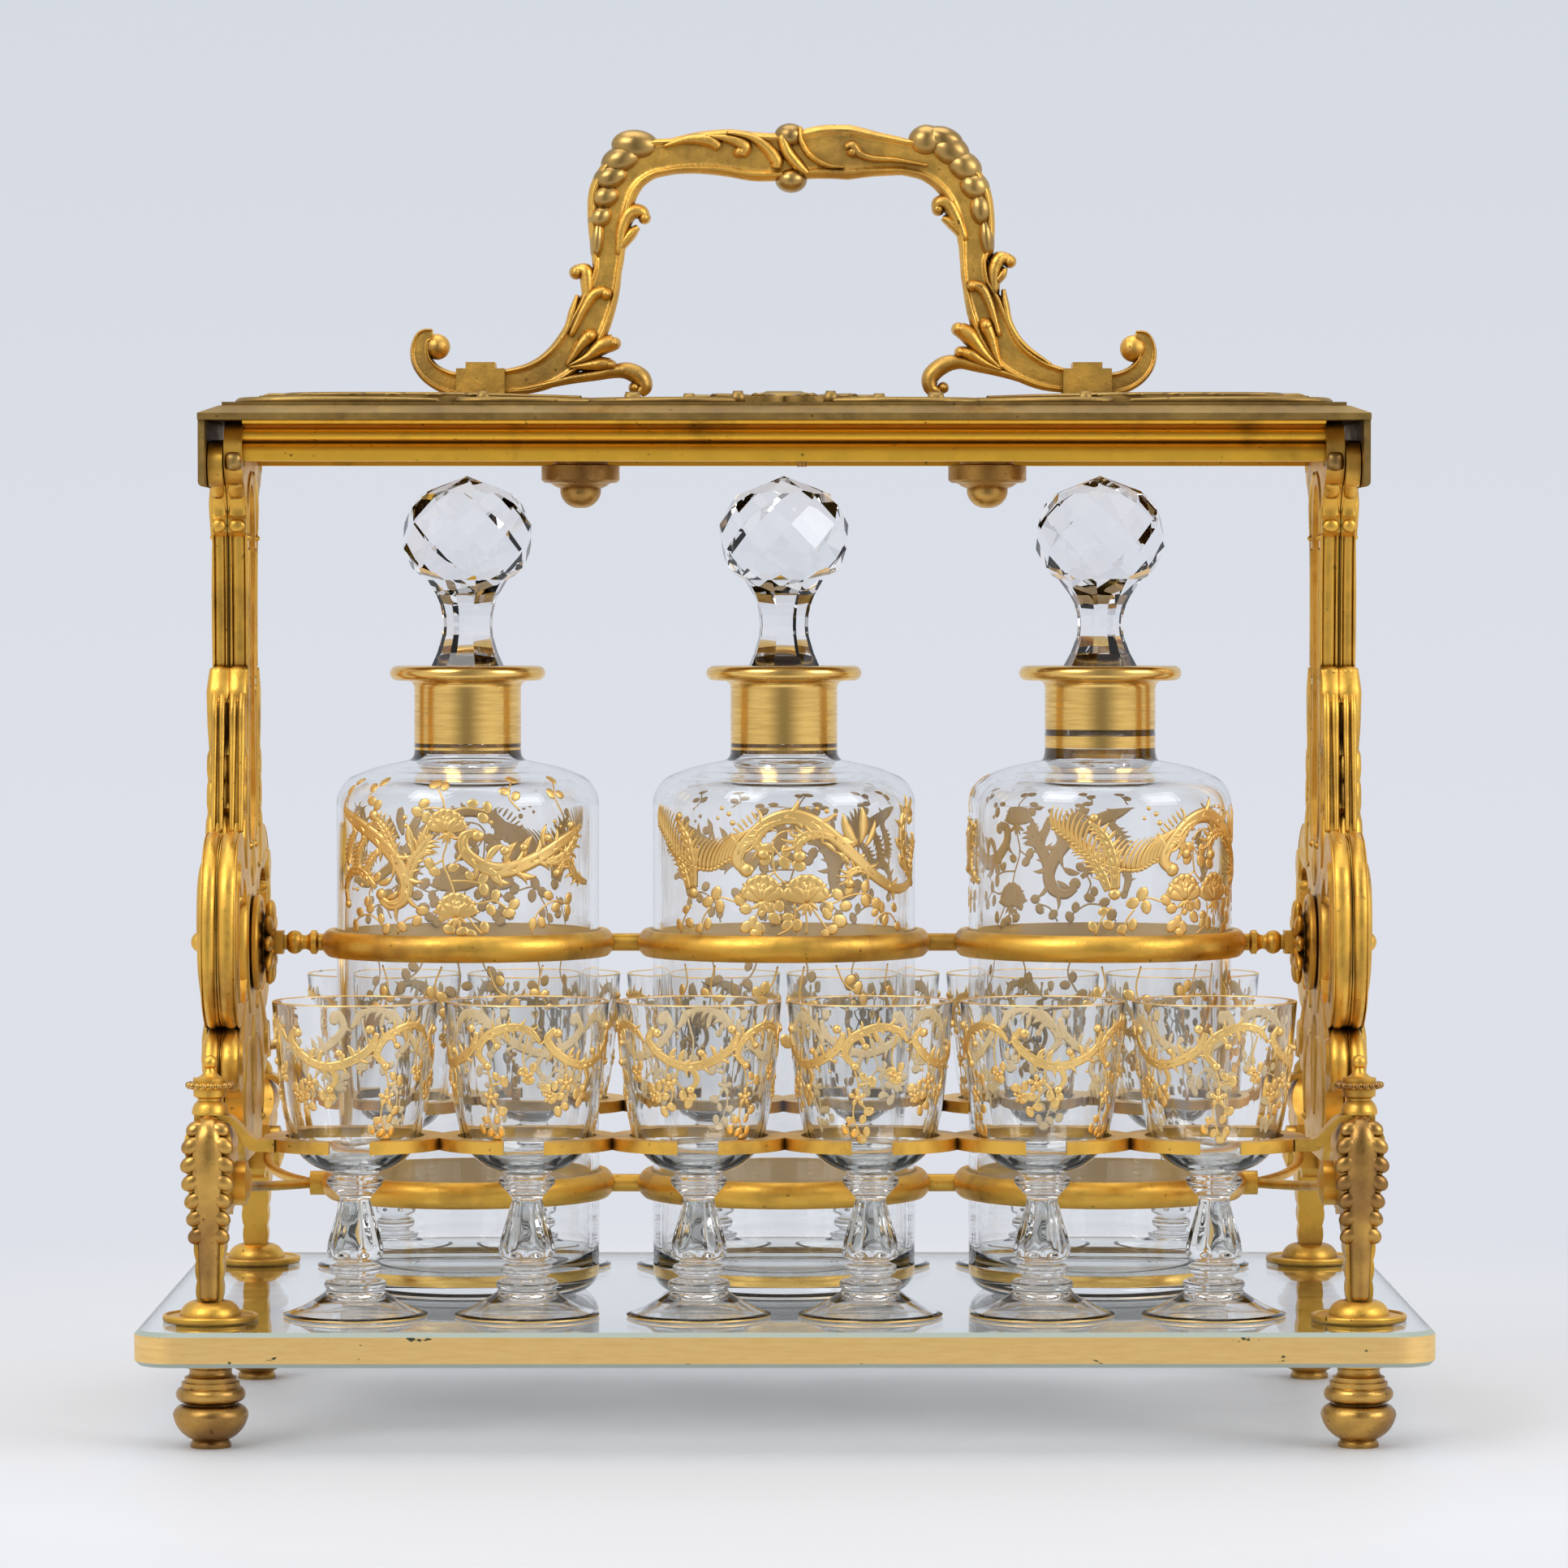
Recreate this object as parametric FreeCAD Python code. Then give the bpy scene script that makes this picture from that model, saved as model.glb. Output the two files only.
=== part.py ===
import FreeCAD, Part
import math
import os
from FreeCAD import Vector

# A portable liqueur stand: three decanters and twelve glasses in a gilt brass
# frame on a thick glass plate, under a lid with a carrying handle.
# X runs along the length, Y from front to back, Z up; the origin is on the
# floor below the middle of the plate. All lengths are in millimetres.

# Base plate
plate_thickness = 10.3
plate_corner_radius = 12.0
plate_bevel = 1.3

# Bun feet, corner posts and the bolts that run up through them
foot_height = 27.0
foot_radius = 11.15
post_inset_length = 20.5
post_inset_depth = 31.0
post_row_offset = 11.0
spindle_room = 27.1
rack_end_room = 15.0
bolt_radius = 2.0
bolt_grip = 15.0
bolt_clearance = 0.05
disc_radius = 14.1
disc_height = 6.0

# Scroll legs
leg_reach = 27.0
leg_top_half_width = 7.0
leg_foot_half_width = 3.5
leg_crown_half_width = 4.2
leg_lobe_count = 7
leg_lobe_bulge = 0.45
leg_boss_radius = 6.6
leg_boss_rise = 3.4
leg_boss_nose = 1.2

# Decanters
decanter_radius = 40.35
decanter_height = 192.6
decanter_wall = 2.8
decanter_base = 6.5
decanter_heel = 7.0
decanter_shoulder_drop = 39.5
decanter_neck_height = 23.5
decanter_neck_radius = 16.4
decanter_lip_radius = 23.9
decanter_lip_height = 4.5
decanter_bore_radius = 11.6
decanter_bore_taper = 1.3
third_neck_radius = 17.0
third_lip_radius = 25.0

# Stoppers
stopper_rise = 58.3
stopper_ball_radius = 18.8
stopper_plug_length = 21.0
stopper_clearance = 0.3
stopper_waist_radius = 7.7
stopper_stem_height = 28.5
facet_count = 8
facet_rows_above_count = 3
facet_rows_below_count = 2
top_facet_degrees = 68.0
low_facet_degrees = -57.0
end_facet_share = 0.925
stopper_turns_degrees = (-8.0, 6.0, 14.0)
third_waist_radius = 6.9

# Ring holders round the decanters
ring_clearance = 0.65
ring_wall = 4.1
ring_height = 8.0
link_length = 7.1
link_radius = 2.7
link_bite = 1.6
pivot_over_glasses = 13.3
lower_ring_rise = 33.2
spindle_radius = 3.7
spindle_block = 7.0
fork_wire_radius = 1.5
fork_boss_length = 3.6

# Side castings, pivots and rosettes
casting_inset = 17.5
inner_casting_thickness = 5.5
outer_casting_thickness = 4.3
casting_gap = 0.3
casting_offset = 0.5
eye_radius = 6.0
eye_rise = 1.1
pivot_pin_radius = 1.8
pivot_clearance = 0.05
pivot_pin_bite = 3.6
ball_nut_radius = 3.3
ball_nut_collar = 2.4
rosette_radius = 14.75
rosette_depth = 5.0
rosette_gap = 0.3

# Glasses and the racks that hold them
glass_height = 94.2
glass_rim_radius = 24.5
glass_wall = 1.3
glass_foot_radius = 21.5
glass_gap = 2.0
glass_row_gap = 4.15
glasses_in_row = 6
stem_side_count = 8
rack_level_share = 0.534
rack_thickness = 3.6
rack_hole_inset = 3.9
rack_web = 6.4
rack_mouth = 12.0
rack_arm_width = 8.6
rack_arm_thickness = 1.9
rack_arm_lift = 5.3
finial_height = 17.3
finial_radius = 6.45

# Lid, rails, end aprons and what is fixed to the lid
headroom = 15.9
lid_depth = 92.0
lid_lip = 2.0
lid_bevel_height = 2.4
lid_bevel_width = 6.0
lid_plateau_height = 1.1
lid_plateau_inset = 0.8
rail_height = 12.1
rail_setback = 11.5
rail_depth = 7.5
apron_drop = 20.1
apron_thickness = 2.0
apron_gap = 0.4
apron_round = 1.6
apron_setback = 2.0
mount_relief = 2.3
knob_offset = 34.8
knob_drop = 25.7
knob_radius = 12.0
screw_radius = 1.5
screw_bite = 5.5
screw_head_radius = 3.2
screw_head_height = 1.8
tip_screw_offset = 5.4
tip_screw_setback = 3.5
tip_screw_drop = 13.6

# Carrying handle and its two clamps
handle_half_span = 115.0
handle_height = 85.1
handle_thickness = 9.0
handle_gap = 2.0
clamp_inset = 22.0
clamp_length = 14.8
clamp_width = 13.0
clamp_height = 11.4
clamp_cap_length = 9.0
clamp_cap_height = 1.9

# One overrun for every cut, and the distance at which two points count as one
overrun = 5.0
same_point = 0.001

# How far the middle of a quarter round stays from its corner
round_share = 1 - math.sqrt(0.5)

# Places that follow from the sizes above: the rows of decanters and glasses
# settle where the posts stand, and the posts settle the plate and the castings
plate_top = foot_height + plate_thickness
ring_inner = decanter_radius + ring_clearance
ring_outer = ring_inner + ring_wall
decanter_pitch = 2 * ring_outer + link_length
holder_end = decanter_pitch + ring_outer
glass_pitch = 2 * glass_rim_radius + glass_gap
glass_row_depth = decanter_radius + glass_row_gap + glass_rim_radius
rack_height = plate_top + rack_level_share * glass_height
rack_top_z = rack_height + rack_thickness
rack_hole_radius = glass_rim_radius - rack_hole_inset
rack_disc_radius = rack_hole_radius + rack_web
rack_end = (glasses_in_row - 1) / 2 * glass_pitch + rack_disc_radius
post_x = max(holder_end + spindle_room, rack_end + rack_end_room)
post_y = glass_row_depth + post_row_offset
plate_length = 2 * (post_x + post_inset_length)
plate_depth = 2 * (post_y + post_inset_depth)
leg_foot_z = plate_top + disc_height
leg_top_z = rack_top_z + rack_arm_lift
leg_height = leg_top_z - leg_foot_z
pivot_height = plate_top + glass_height + pivot_over_glasses
lower_ring_height = plate_top + lower_ring_rise
casting_half_depth = post_y - casting_inset
lip_top_z = plate_top + decanter_height
lid_z = lip_top_z + stopper_rise + headroom
inner_casting_x = post_x - casting_offset - inner_casting_thickness
outer_casting_x = post_x - casting_offset + casting_gap
outer_face_x = outer_casting_x + outer_casting_thickness
rosette_x = inner_casting_x - rosette_gap
lid_length = 2 * (outer_face_x + apron_gap + apron_thickness)
rail_front = lid_depth / 2 - rail_setback
rail_back = rail_front - rail_depth
apron_half_depth = lid_depth / 2 - apron_setback
knob_spread = decanter_pitch - knob_offset
clamp_spread = handle_half_span - clamp_inset
plateau_z = lid_z + lid_lip + lid_bevel_height + lid_plateau_height
casting_rise = lid_z - pivot_height
casting_fall = pivot_height - plate_top

# Outlines as shares of the piece they belong to. In a table, a pair is a
# straight line to that point, two pairs are an arc through the first to the
# second, and more pairs are a smooth curve through them all.
foot_shares = (
    (0.54, 0.0), (0.54, 0.045), (0.48, 0.085),
    ((0.86, 0.21), (1.0, 0.36)), ((0.92, 0.43), (0.70, 0.47)), (0.66, 0.50),
    ((0.90, 0.545), (0.84, 0.65)), (0.77, 0.66), (0.77, 0.715), (0.69, 0.72),
    (0.69, 0.77), ((0.56, 0.82), (0.62, 0.88)), (0.90, 0.895), (0.92, 0.92),
    (0.92, 1.0), (0.0, 1.0))
disc_shares = (
    (0.97, 0.0), (1.0, 0.08), (1.0, 0.22), ((0.95, 0.36), (0.90, 0.26)),
    (0.64, 0.30), ((0.56, 0.74), (0.37, 1.0)), (0.0, 1.0))
leg_side_shares = (
    ((-0.17, 0.32), (-0.30, 0.62), (-0.32, 0.85), (-0.18, 1.0)), (0.20, 1.0),
    ((0.45, 0.93), (0.70, 0.82), (0.86, 0.785), (1.0, 0.763)), (1.0, 0.50),
    ((0.85, 0.44), (0.65, 0.46), (0.50, 0.50), (0.36, 0.42), (0.24, 0.25),
     (0.16, 0.12), (0.13, 0.0)))
leg_lobes_share = 0.80
leg_shoulder_share = 0.93
leg_taper_power = 1.5
leg_seat_shares = (0.50, 0.763)
leg_boss_shares = (0.68, 0.62)
fork_bend_shares = (0.78, 0.42, 0.25)
finial_shares = (
    (0.83, 0.0), (0.83, 0.05), ((0.72, 0.17), (0.56, 0.235)), (0.56, 0.27),
    (0.75, 0.31), (0.76, 0.42), (0.90, 0.43), ((1.0, 0.485), (0.90, 0.54)),
    (0.77, 0.55), (0.77, 0.62), ((0.40, 0.67), (0.23, 0.785)),
    ((0.36, 0.86), (0.31, 0.95), (0.0, 1.0)))
rosette_shares = (
    (0.96, 0.0), (1.0, 0.10), (1.0, 0.34), ((0.92, 0.50), (0.84, 0.36)),
    (0.76, 0.32), ((0.62, 0.62), (0.46, 0.62)), (0.42, 0.56),
    ((0.36, 0.90), (0.25, 1.0)), (0.0, 1.0))
casting_head_shares = (
    ((0.576, 0.949), (0.456, 0.880)), ((0.38, 0.857), (0.33, 0.83)),
    (0.35, 0.815), (0.35, 0.79), (0.30, 0.78),
    ((0.275, 0.70), (0.265, 0.60), (0.26, 0.53)), (0.30, 0.525), (0.30, 0.50),
    (0.28, 0.495), (0.385, 0.466), ((0.345, 0.445), (0.33, 0.41)), (0.41, 0.366),
    ((0.37, 0.345), (0.355, 0.31)), (0.44, 0.265), ((0.405, 0.24), (0.42, 0.20)),
    ((0.62, 0.215), (0.80, 0.20), (0.93, 0.15), (1.0, 0.06), (1.0, -0.04),
     (0.96, -0.12), (0.86, -0.185), (0.70, -0.215)),
    ((0.78, -0.245), (0.85, -0.31), (0.79, -0.375), (0.62, -0.39)))
inner_top_shares = ((0.0, 1.0), (0.48, 1.0))
outer_top_shares = ((0.0, 0.965), (0.46, 0.955))
inner_tail_shares = (
    (0.59, -0.42), ((0.585, -0.48), (0.52, -0.555), (0.41, -0.61)), (0.0, -0.61))
outer_arm_start = (0.60, -0.44)
outer_arm_high_shares = ((0.66, 0.045), (0.74, 0.015))
outer_arm_low_shares = ((0.70, 0.01), (0.50, 0.07), (0.30, 0.15), (0.0, 0.19))
ball_nut_neck_share = 0.8
spindle_shares = (
    (0.70, 0.0), (0.70, 0.14), (1.0, 0.18), (1.0, 0.27), ((0.62, 0.34), (0.66, 0.44)),
    ((0.98, 0.56), (0.62, 0.70)), (0.62, 0.78), (0.0, 0.78))
spindle_square_share = 0.76
window_shares = (
    (0.0, 0.885), ((0.12, 0.86), (0.165, 0.80), (0.14, 0.66), (0.12, 0.53),
                   (0.15, 0.38), (0.18, 0.29), (0.11, 0.215), (0.0, 0.19)))
belly_hole_shares = (
    (0.36, 0.10), (0.55, 0.135), (0.76, 0.11), (0.835, 0.02), (0.78, -0.10),
    (0.60, -0.155), (0.42, -0.14), (0.32, -0.03))
eye_shares = ((0.80, 0.135), (0.73, -0.30))
rail_shares = (
    (0.0, 0.0), (0.86, 0.0), (0.88, 0.13), ((0.80, 0.34), (0.52, 0.47)),
    (0.46, 0.55), ((0.86, 0.66), (0.50, 0.76)), ((0.60, 0.88), (0.92, 0.93)),
    (1.0, 1.0), (0.0, 1.0))
knob_shares = (
    (0.0, 1.0), (0.70, 1.0), (0.70, 0.52), (1.0, 0.50), (1.0, 0.33),
    (0.92, 0.30), ((0.76, 0.29), (0.67, 0.26)), (0.52, 0.23),
    ((0.49, 0.13), (0.33, 0.04), (0.0, 0.0)))
lid_leaf_shares = (
    (0.94, 0.66), ((0.86, 0.86), (0.68, 0.84), (0.50, 0.60), (0.34, 0.22)),
    ((0.47, 0.42), (0.62, 0.60), (0.76, 0.60), (0.83, 0.48), (0.78, 0.30)),
    ((0.88, 0.30), (0.94, 0.66)))
lid_shell_shares = (0.17, 0.62)
lid_shell_lobe_count = 12
lid_shell_swell_share = 1.13
glass_bowl_shares = (
    (0.0, 0.40), (0.33, 0.40), ((0.345, 0.425), (0.26, 0.437)),
    ((0.50, 0.462), (0.70, 0.505), (0.79, 0.56), (0.86, 0.66), (0.93, 0.80),
     (1.0, 1.0)))
glass_bowl_start = (0.0, 0.375)
glass_inside_share = 0.53
glass_inside_shares = (
    ((0.38, 0.02), (0.66, 0.10), (0.80, 0.25), (0.885, 0.48), (0.94, 0.72), (1.0, 1.0)),)
glass_foot_shares = (
    (1.0, 0.0), (1.0, 0.012), ((0.72, 0.035), (0.44, 0.075)), (0.40, 0.09),
    ((0.36, 0.115), (0.24, 0.12)), ((0.33, 0.14), (0.24, 0.16)),
    ((0.32, 0.185), (0.27, 0.21)), (0.0, 0.21))
glass_stem_shares = ((0.206, 0.253), (0.246, 0.310), (0.295, 0.250), (0.380, 0.186), (0.415, 0.242))
decanter_shoulder_shares = (
    (0.0, -0.24), ((0.062, 0.20), (0.229, 0.504)), ((0.50, 0.69), (0.84, 0.83), (1.0, 1.0)))
decanter_inside_shares = (
    (0.0, -0.35), ((0.04, -0.02), (0.148, 0.20)), ((0.50, 0.50), (0.84, 0.74), (1.0, 1.39)))
stopper_stem_shares = (
    (0.0, 1.0), (0.14, 0.50), (0.32, 0.07), (0.42, 0.0), (0.55, 0.05), (0.66, 0.24),
    (0.76, 0.56), (0.87, 1.08), (1.0, 1.70))
rack_arm_upper_shares = ((0.25, 0.75), (0.48, 0.22))
rack_arm_lower_shares = ((0.46, 0.14), (0.20, 0.80))
rack_arm_bend_share = 0.68
handle_outer_shares = (
    (0.0, 1.0), ((0.045, 0.985), (0.055, 0.945)),
    ((0.12, 0.972), (0.20, 0.97), (0.28, 0.95), (0.342, 0.922)),
    ((0.36, 0.962), (0.391, 0.971), (0.43, 0.953), (0.475, 0.891),
     (0.506, 0.82), (0.524, 0.70), (0.526, 0.60), (0.515, 0.487)),
    ((0.545, 0.502), (0.574, 0.462), (0.552, 0.425), (0.543, 0.376)),
    (0.566, 0.376), ((0.566, 0.32), (0.58, 0.26), (0.62, 0.182), (0.68, 0.135),
                     (0.77, 0.10), (0.878, 0.093)),
    ((0.925, 0.11), (0.897, 0.15), (0.888, 0.19), (0.91, 0.232), (0.945, 0.247),
     (0.98, 0.225), (1.0, 0.165), (0.985, 0.095), (0.94, 0.035), (0.878, 0.002)))
handle_inner_shares = (
    ((0.80, 0.0), (0.70, 0.02), (0.58, 0.052), (0.48, 0.073), (0.43, 0.05),
     (0.407, 0.012)),
    ((0.372, 0.01), (0.352, 0.062), (0.378, 0.12), (0.448, 0.132)),
    ((0.436, 0.17), (0.445, 0.225), (0.476, 0.236)),
    ((0.452, 0.29), (0.436, 0.38), (0.432, 0.48), (0.42, 0.57), (0.388, 0.625)),
    ((0.355, 0.655), (0.405, 0.697)),
    ((0.395, 0.745), (0.36, 0.785), (0.30, 0.81), (0.23, 0.81), (0.13, 0.79),
     (0.045, 0.784)),
    ((0.035, 0.76), (0.0, 0.752)))
handle_lobe_shares = (
    (0.365, 0.935, 0.036), (0.425, 0.893, 0.038), (0.470, 0.828, 0.035),
    (0.492, 0.755, 0.030), (0.498, 0.680, 0.026), (0.470, 0.205, 0.028),
    (0.505, 0.235, 0.026), (0.470, 0.155, 0.026), (0.0, 0.945, 0.040),
    (0.0, 0.795, 0.040), (0.936, 0.190, 0.040))


# A point of an outline, on a plane across X, Y or Z.
def side_point(y, z):
    return Vector(0, y, z)


def front_point(x, z):
    return Vector(x, 0, z)


def plan_point(x, y):
    return Vector(x, y, 0)


# A function that turns shares into a point, for one piece's plane and sizes.
def scaler(place, width, height, across=0.0, up=0.0):
    return lambda pair: place(across + width * pair[0], up + height * pair[1])


# The edges that run from a start point through the rows of a table.
def trace(start, rows, point):
    edges = []
    here = point(start)
    for row in rows:
        if isinstance(row[0], (int, float)):
            there = point(row)
            edges.append(Part.LineSegment(here, there).toShape())
        elif len(row) == 2:
            there = point(row[1])
            edges.append(Part.Arc(here, point(row[0]), there).toShape())
        else:
            curve = Part.BSplineCurve()
            curve.interpolate([here] + [point(pair) for pair in row])
            there = point(row[-1])
            edges.append(curve.toShape())
        here = there
    return edges


# A flat face inside edges that run round in order.
def face_of(edges):
    return Part.Face(Part.Wire(edges))


# The end point of a table, to start the next one from.
def last_pair(rows):
    row = rows[-1]
    return row if isinstance(row[0], (int, float)) else row[-1]


# An outline drawn on one side of the middle line and mirrored to the other.
def mirrored_face(start, rows, point, mirror_normal):
    half = trace(start, rows, point)
    origin = Vector(0, 0, 0)
    other = [edge.mirror(origin, mirror_normal) for edge in half]
    return Part.Face(Part.Wire(Part.__sortEdges__(half + other)))


# A solid turned about a vertical axis from a table of radius and height.
def turned(rows, radius, height, start=(0.0, 0.0)):
    point = scaler(front_point, radius, height)
    edges = trace(start, rows, point)
    first = point(start)
    last = point(last_pair(rows))
    if last.distanceToPoint(first) > same_point:
        edges.append(Part.LineSegment(last, first).toShape())
    return face_of(edges).revolve(Vector(0, 0, 0), Vector(0, 0, 1), 360)


def moved(shape, x, y, z):
    copy = shape.copy()
    copy.translate(Vector(x, y, z))
    return copy


# A solid turned about Z, laid down so that its height runs along +X or -X.
def laid_along_x(shape, side):
    copy = shape.copy()
    copy.rotate(Vector(0, 0, 0), Vector(0, 1, 0), 90 * side)
    return copy


def rod(radius, length, x, y, z, axis=Vector(0, 0, 1)):
    return Part.makeCylinder(radius, length, Vector(x, y, z), axis)


def block(low_x, high_x, low_y, high_y, low_z, high_z):
    size = (high_x - low_x, high_y - low_y, high_z - low_z)
    return Part.makeBox(*size, Vector(low_x, low_y, low_z))


def polygon_wire(sides, radius, z, turn=0.0):
    corners = []
    for index in range(sides + 1):
        angle = 2 * math.pi * (index + turn) / sides
        corners.append(Vector(radius * math.cos(angle), radius * math.sin(angle), z))
    return Part.makePolygon(corners)


# Flat-sided solid through regular polygons of given heights and radii.
def cut_column(sides, stations):
    wires = [polygon_wire(sides, radius, z, 0.5) for z, radius in stations]
    return Part.makeLoft(wires, True, True)


# The thick glass plate, with rounded corners, bevelled edges and bolt holes.
def base_plate():
    half_x = plate_length / 2
    half_y = plate_depth / 2
    slab = block(-half_x, half_x, -half_y, half_y, foot_height, plate_top)
    uprights = [edge for edge in slab.Edges if edge.Length < plate_thickness + plate_bevel]
    slab = slab.makeFillet(plate_corner_radius, uprights)
    rims = [edge for edge in slab.Edges if edge.BoundBox.ZLength < plate_bevel]
    slab = slab.makeChamfer(plate_bevel, rims)
    holes = []
    for x, y in post_places():
        hole = rod(bolt_radius + bolt_clearance, plate_thickness + 2 * overrun,
                   x, y, foot_height - overrun)
        holes.append(hole)
    return slab.cut(holes)


def post_places():
    return [(x, y) for y in (-post_y, post_y) for x in (-post_x, post_x)]


# A blind hole for a bolt, from z upward.
def bolt_hole(z, length):
    return rod(bolt_radius + bolt_clearance, length, 0, 0, z)


def bun_foot():
    solid = turned(foot_shares, foot_radius, foot_height)
    return solid.cut(bolt_hole(foot_height - bolt_grip, bolt_grip + overrun))


def foot_disc():
    solid = turned(disc_shares, disc_radius, disc_height)
    hole = bolt_hole(-overrun, disc_height + 2 * overrun)
    return moved(solid.cut(hole), 0, 0, plate_top)


# Bolts that hold foot, plate, disc and leg together.
def foot_bolts():
    low = foot_height - bolt_grip
    high = leg_foot_z + bolt_grip
    return [rod(bolt_radius, high - low, x, y, low) for x, y in post_places()]


# The leg seen from the front: a taper with a row of lobes on each edge.
def leg_front_face():
    half = []
    here = front_point(leg_foot_half_width, leg_foot_z)
    for index in range(leg_lobe_count):
        low = leg_lobes_share * index / leg_lobe_count
        high = leg_lobes_share * (index + 1) / leg_lobe_count
        low_width = leg_width_at(low)
        high_width = leg_width_at(high)
        middle = front_point((low_width + high_width) / 2 + leg_lobe_bulge,
                             leg_foot_z + leg_height * (low + high) / 2)
        there = front_point(high_width, leg_foot_z + leg_height * high)
        half.append(Part.Arc(here, middle, there).toShape())
        here = there
    crown = front_point(leg_crown_half_width, leg_top_z)
    shoulder = front_point(leg_shoulder_share * leg_top_half_width,
                           leg_foot_z + leg_shoulder_share * leg_height)
    half.append(Part.Arc(here, shoulder, crown).toShape())
    half.append(Part.LineSegment(crown, front_point(0, leg_top_z)).toShape())
    half.append(Part.LineSegment(front_point(0, leg_foot_z),
                                 front_point(leg_foot_half_width, leg_foot_z)).toShape())
    other = [edge.mirror(Vector(0, 0, 0), Vector(1, 0, 0)) for edge in half]
    return Part.Face(Part.Wire(Part.__sortEdges__(half + other)))


def leg_width_at(share):
    flare = leg_top_half_width - leg_foot_half_width
    return leg_foot_half_width + flare * share ** leg_taper_power


# A scroll leg for the front left corner, cut to its outline in both views.
def front_left_leg():
    start = (-0.13, 0.0)
    point = scaler(side_point, leg_reach, leg_height, -post_y, leg_foot_z)
    edges = trace(start, leg_side_shares, point)
    edges.append(Part.LineSegment(point(last_pair(leg_side_shares)), point(start)).toShape())
    side = face_of(edges).extrude(Vector(4 * leg_top_half_width, 0, 0))
    side.translate(Vector(-2 * leg_top_half_width, 0, 0))
    front = leg_front_face().extrude(Vector(0, 2 * leg_reach, 0))
    front.translate(Vector(0, -post_y - leg_reach / 2, 0))
    leg = side.common(front)
    leg.translate(Vector(-post_x, 0, 0))
    boss_y = -post_y + leg_reach * leg_boss_shares[0]
    boss_z = leg_foot_z + leg_height * leg_boss_shares[1]
    start_x = -post_x + leg_foot_half_width
    length = leg_top_half_width - leg_foot_half_width + leg_boss_rise - leg_boss_nose
    boss = rod(leg_boss_radius, length, start_x, boss_y, boss_z, Vector(1, 0, 0))
    nose = Part.makeCone(leg_boss_radius, leg_boss_radius / 2, leg_boss_nose,
                         Vector(start_x + length, boss_y, boss_z), Vector(1, 0, 0))
    leg = leg.fuse([boss, nose]).removeSplitter()
    hole = moved(bolt_hole(leg_foot_z - overrun, bolt_grip + overrun), -post_x, -post_y, 0)
    return leg.cut(hole)


# Mirror a front left piece to one of the four corners.
def to_corner(shape, x_side, y_side):
    copy = shape.copy()
    if x_side > 0:
        copy = copy.mirror(Vector(0, 0, 0), Vector(1, 0, 0))
    if y_side > 0:
        copy = copy.mirror(Vector(0, 0, 0), Vector(0, 1, 0))
    return copy


# Shares of the casting's outline: heights above the pivot are shares of the
# rise to the lid, and heights below it of the fall to the plate.
def casting_point(pair):
    depth, height = pair
    reach = casting_rise if height >= 0 else casting_fall
    return side_point(-casting_half_depth * depth, pivot_height + reach * height)


def casting_plate(half_rows, x, thickness):
    start = half_rows[0]
    face = mirrored_face(start, half_rows[1:], casting_point, Vector(0, 1, 0))
    solid = face.extrude(Vector(thickness, 0, 0))
    holes = [window(thickness)] + belly_holes(thickness)
    solid = solid.cut(holes)
    solid.translate(Vector(x, 0, 0))
    return solid


def window(thickness):
    face = mirrored_face(window_shares[0], window_shares[1:], casting_point, Vector(0, 1, 0))
    face.translate(Vector(-overrun, 0, 0))
    return face.extrude(Vector(thickness + 2 * overrun, 0, 0))


def belly_holes(thickness):
    curve = Part.BSplineCurve()
    curve.interpolate(Points=[casting_point(pair) for pair in belly_hole_shares],
                      PeriodicFlag=True)
    face = Part.Face(Part.Wire(curve.toShape()))
    face.translate(Vector(-overrun, 0, 0))
    hole = face.extrude(Vector(thickness + 2 * overrun, 0, 0))
    return [hole, hole.mirror(Vector(0, 0, 0), Vector(0, 1, 0))]


# Round eyes of the scrolls, standing proud of a casting's face at x.
def scroll_eyes(x, direction):
    eyes = []
    for pair in eye_shares:
        centre = casting_point(pair)
        for y in (centre.y, -centre.y):
            eye = Part.makeCone(eye_radius, eye_radius - eye_rise, eye_rise,
                                Vector(x, y, centre.z), Vector(direction, 0, 0))
            eyes.append(eye)
    return eyes


def pivot_bore():
    length = 2 * post_x
    return rod(pivot_pin_radius + pivot_clearance, length, 0, 0, pivot_height, Vector(1, 0, 0))


# The casting that turns with the lid, on the right-hand side.
def inner_casting():
    rows = inner_top_shares + casting_head_shares + inner_tail_shares
    solid = casting_plate(rows, inner_casting_x, inner_casting_thickness)
    solid = solid.fuse(scroll_eyes(inner_casting_x, -1)).removeSplitter()
    return solid.cut(pivot_bore())


# The fixed casting, on the right-hand side, whose arms end against the legs.
def outer_casting():
    seat = (post_y - leg_reach) / casting_half_depth
    low, high = [share_of_fall(leg_foot_z + leg_height * share) for share in leg_seat_shares]
    over = [(depth, high + lift) for depth, lift in outer_arm_high_shares]
    under = [(depth, low + lift) for depth, lift in outer_arm_low_shares]
    arm = (outer_arm_start, (*over, (seat, high)), (seat, low), tuple(under))
    rows = outer_top_shares + casting_head_shares + arm
    solid = casting_plate(rows, outer_casting_x, outer_casting_thickness)
    solid = solid.fuse(scroll_eyes(outer_face_x, 1)).removeSplitter()
    return solid.cut(pivot_bore())


def share_of_fall(z):
    return (z - pivot_height) / casting_fall


def mirrored_left(shape):
    return shape.mirror(Vector(0, 0, 0), Vector(1, 0, 0))


# Rosette on the right-hand inner face, turned about the pivot line.
def rosette():
    solid = turned(rosette_shares, rosette_radius, rosette_depth)
    solid = moved(laid_along_x(solid, -1), rosette_x, 0, pivot_height)
    return solid.cut(pivot_bore())


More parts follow.
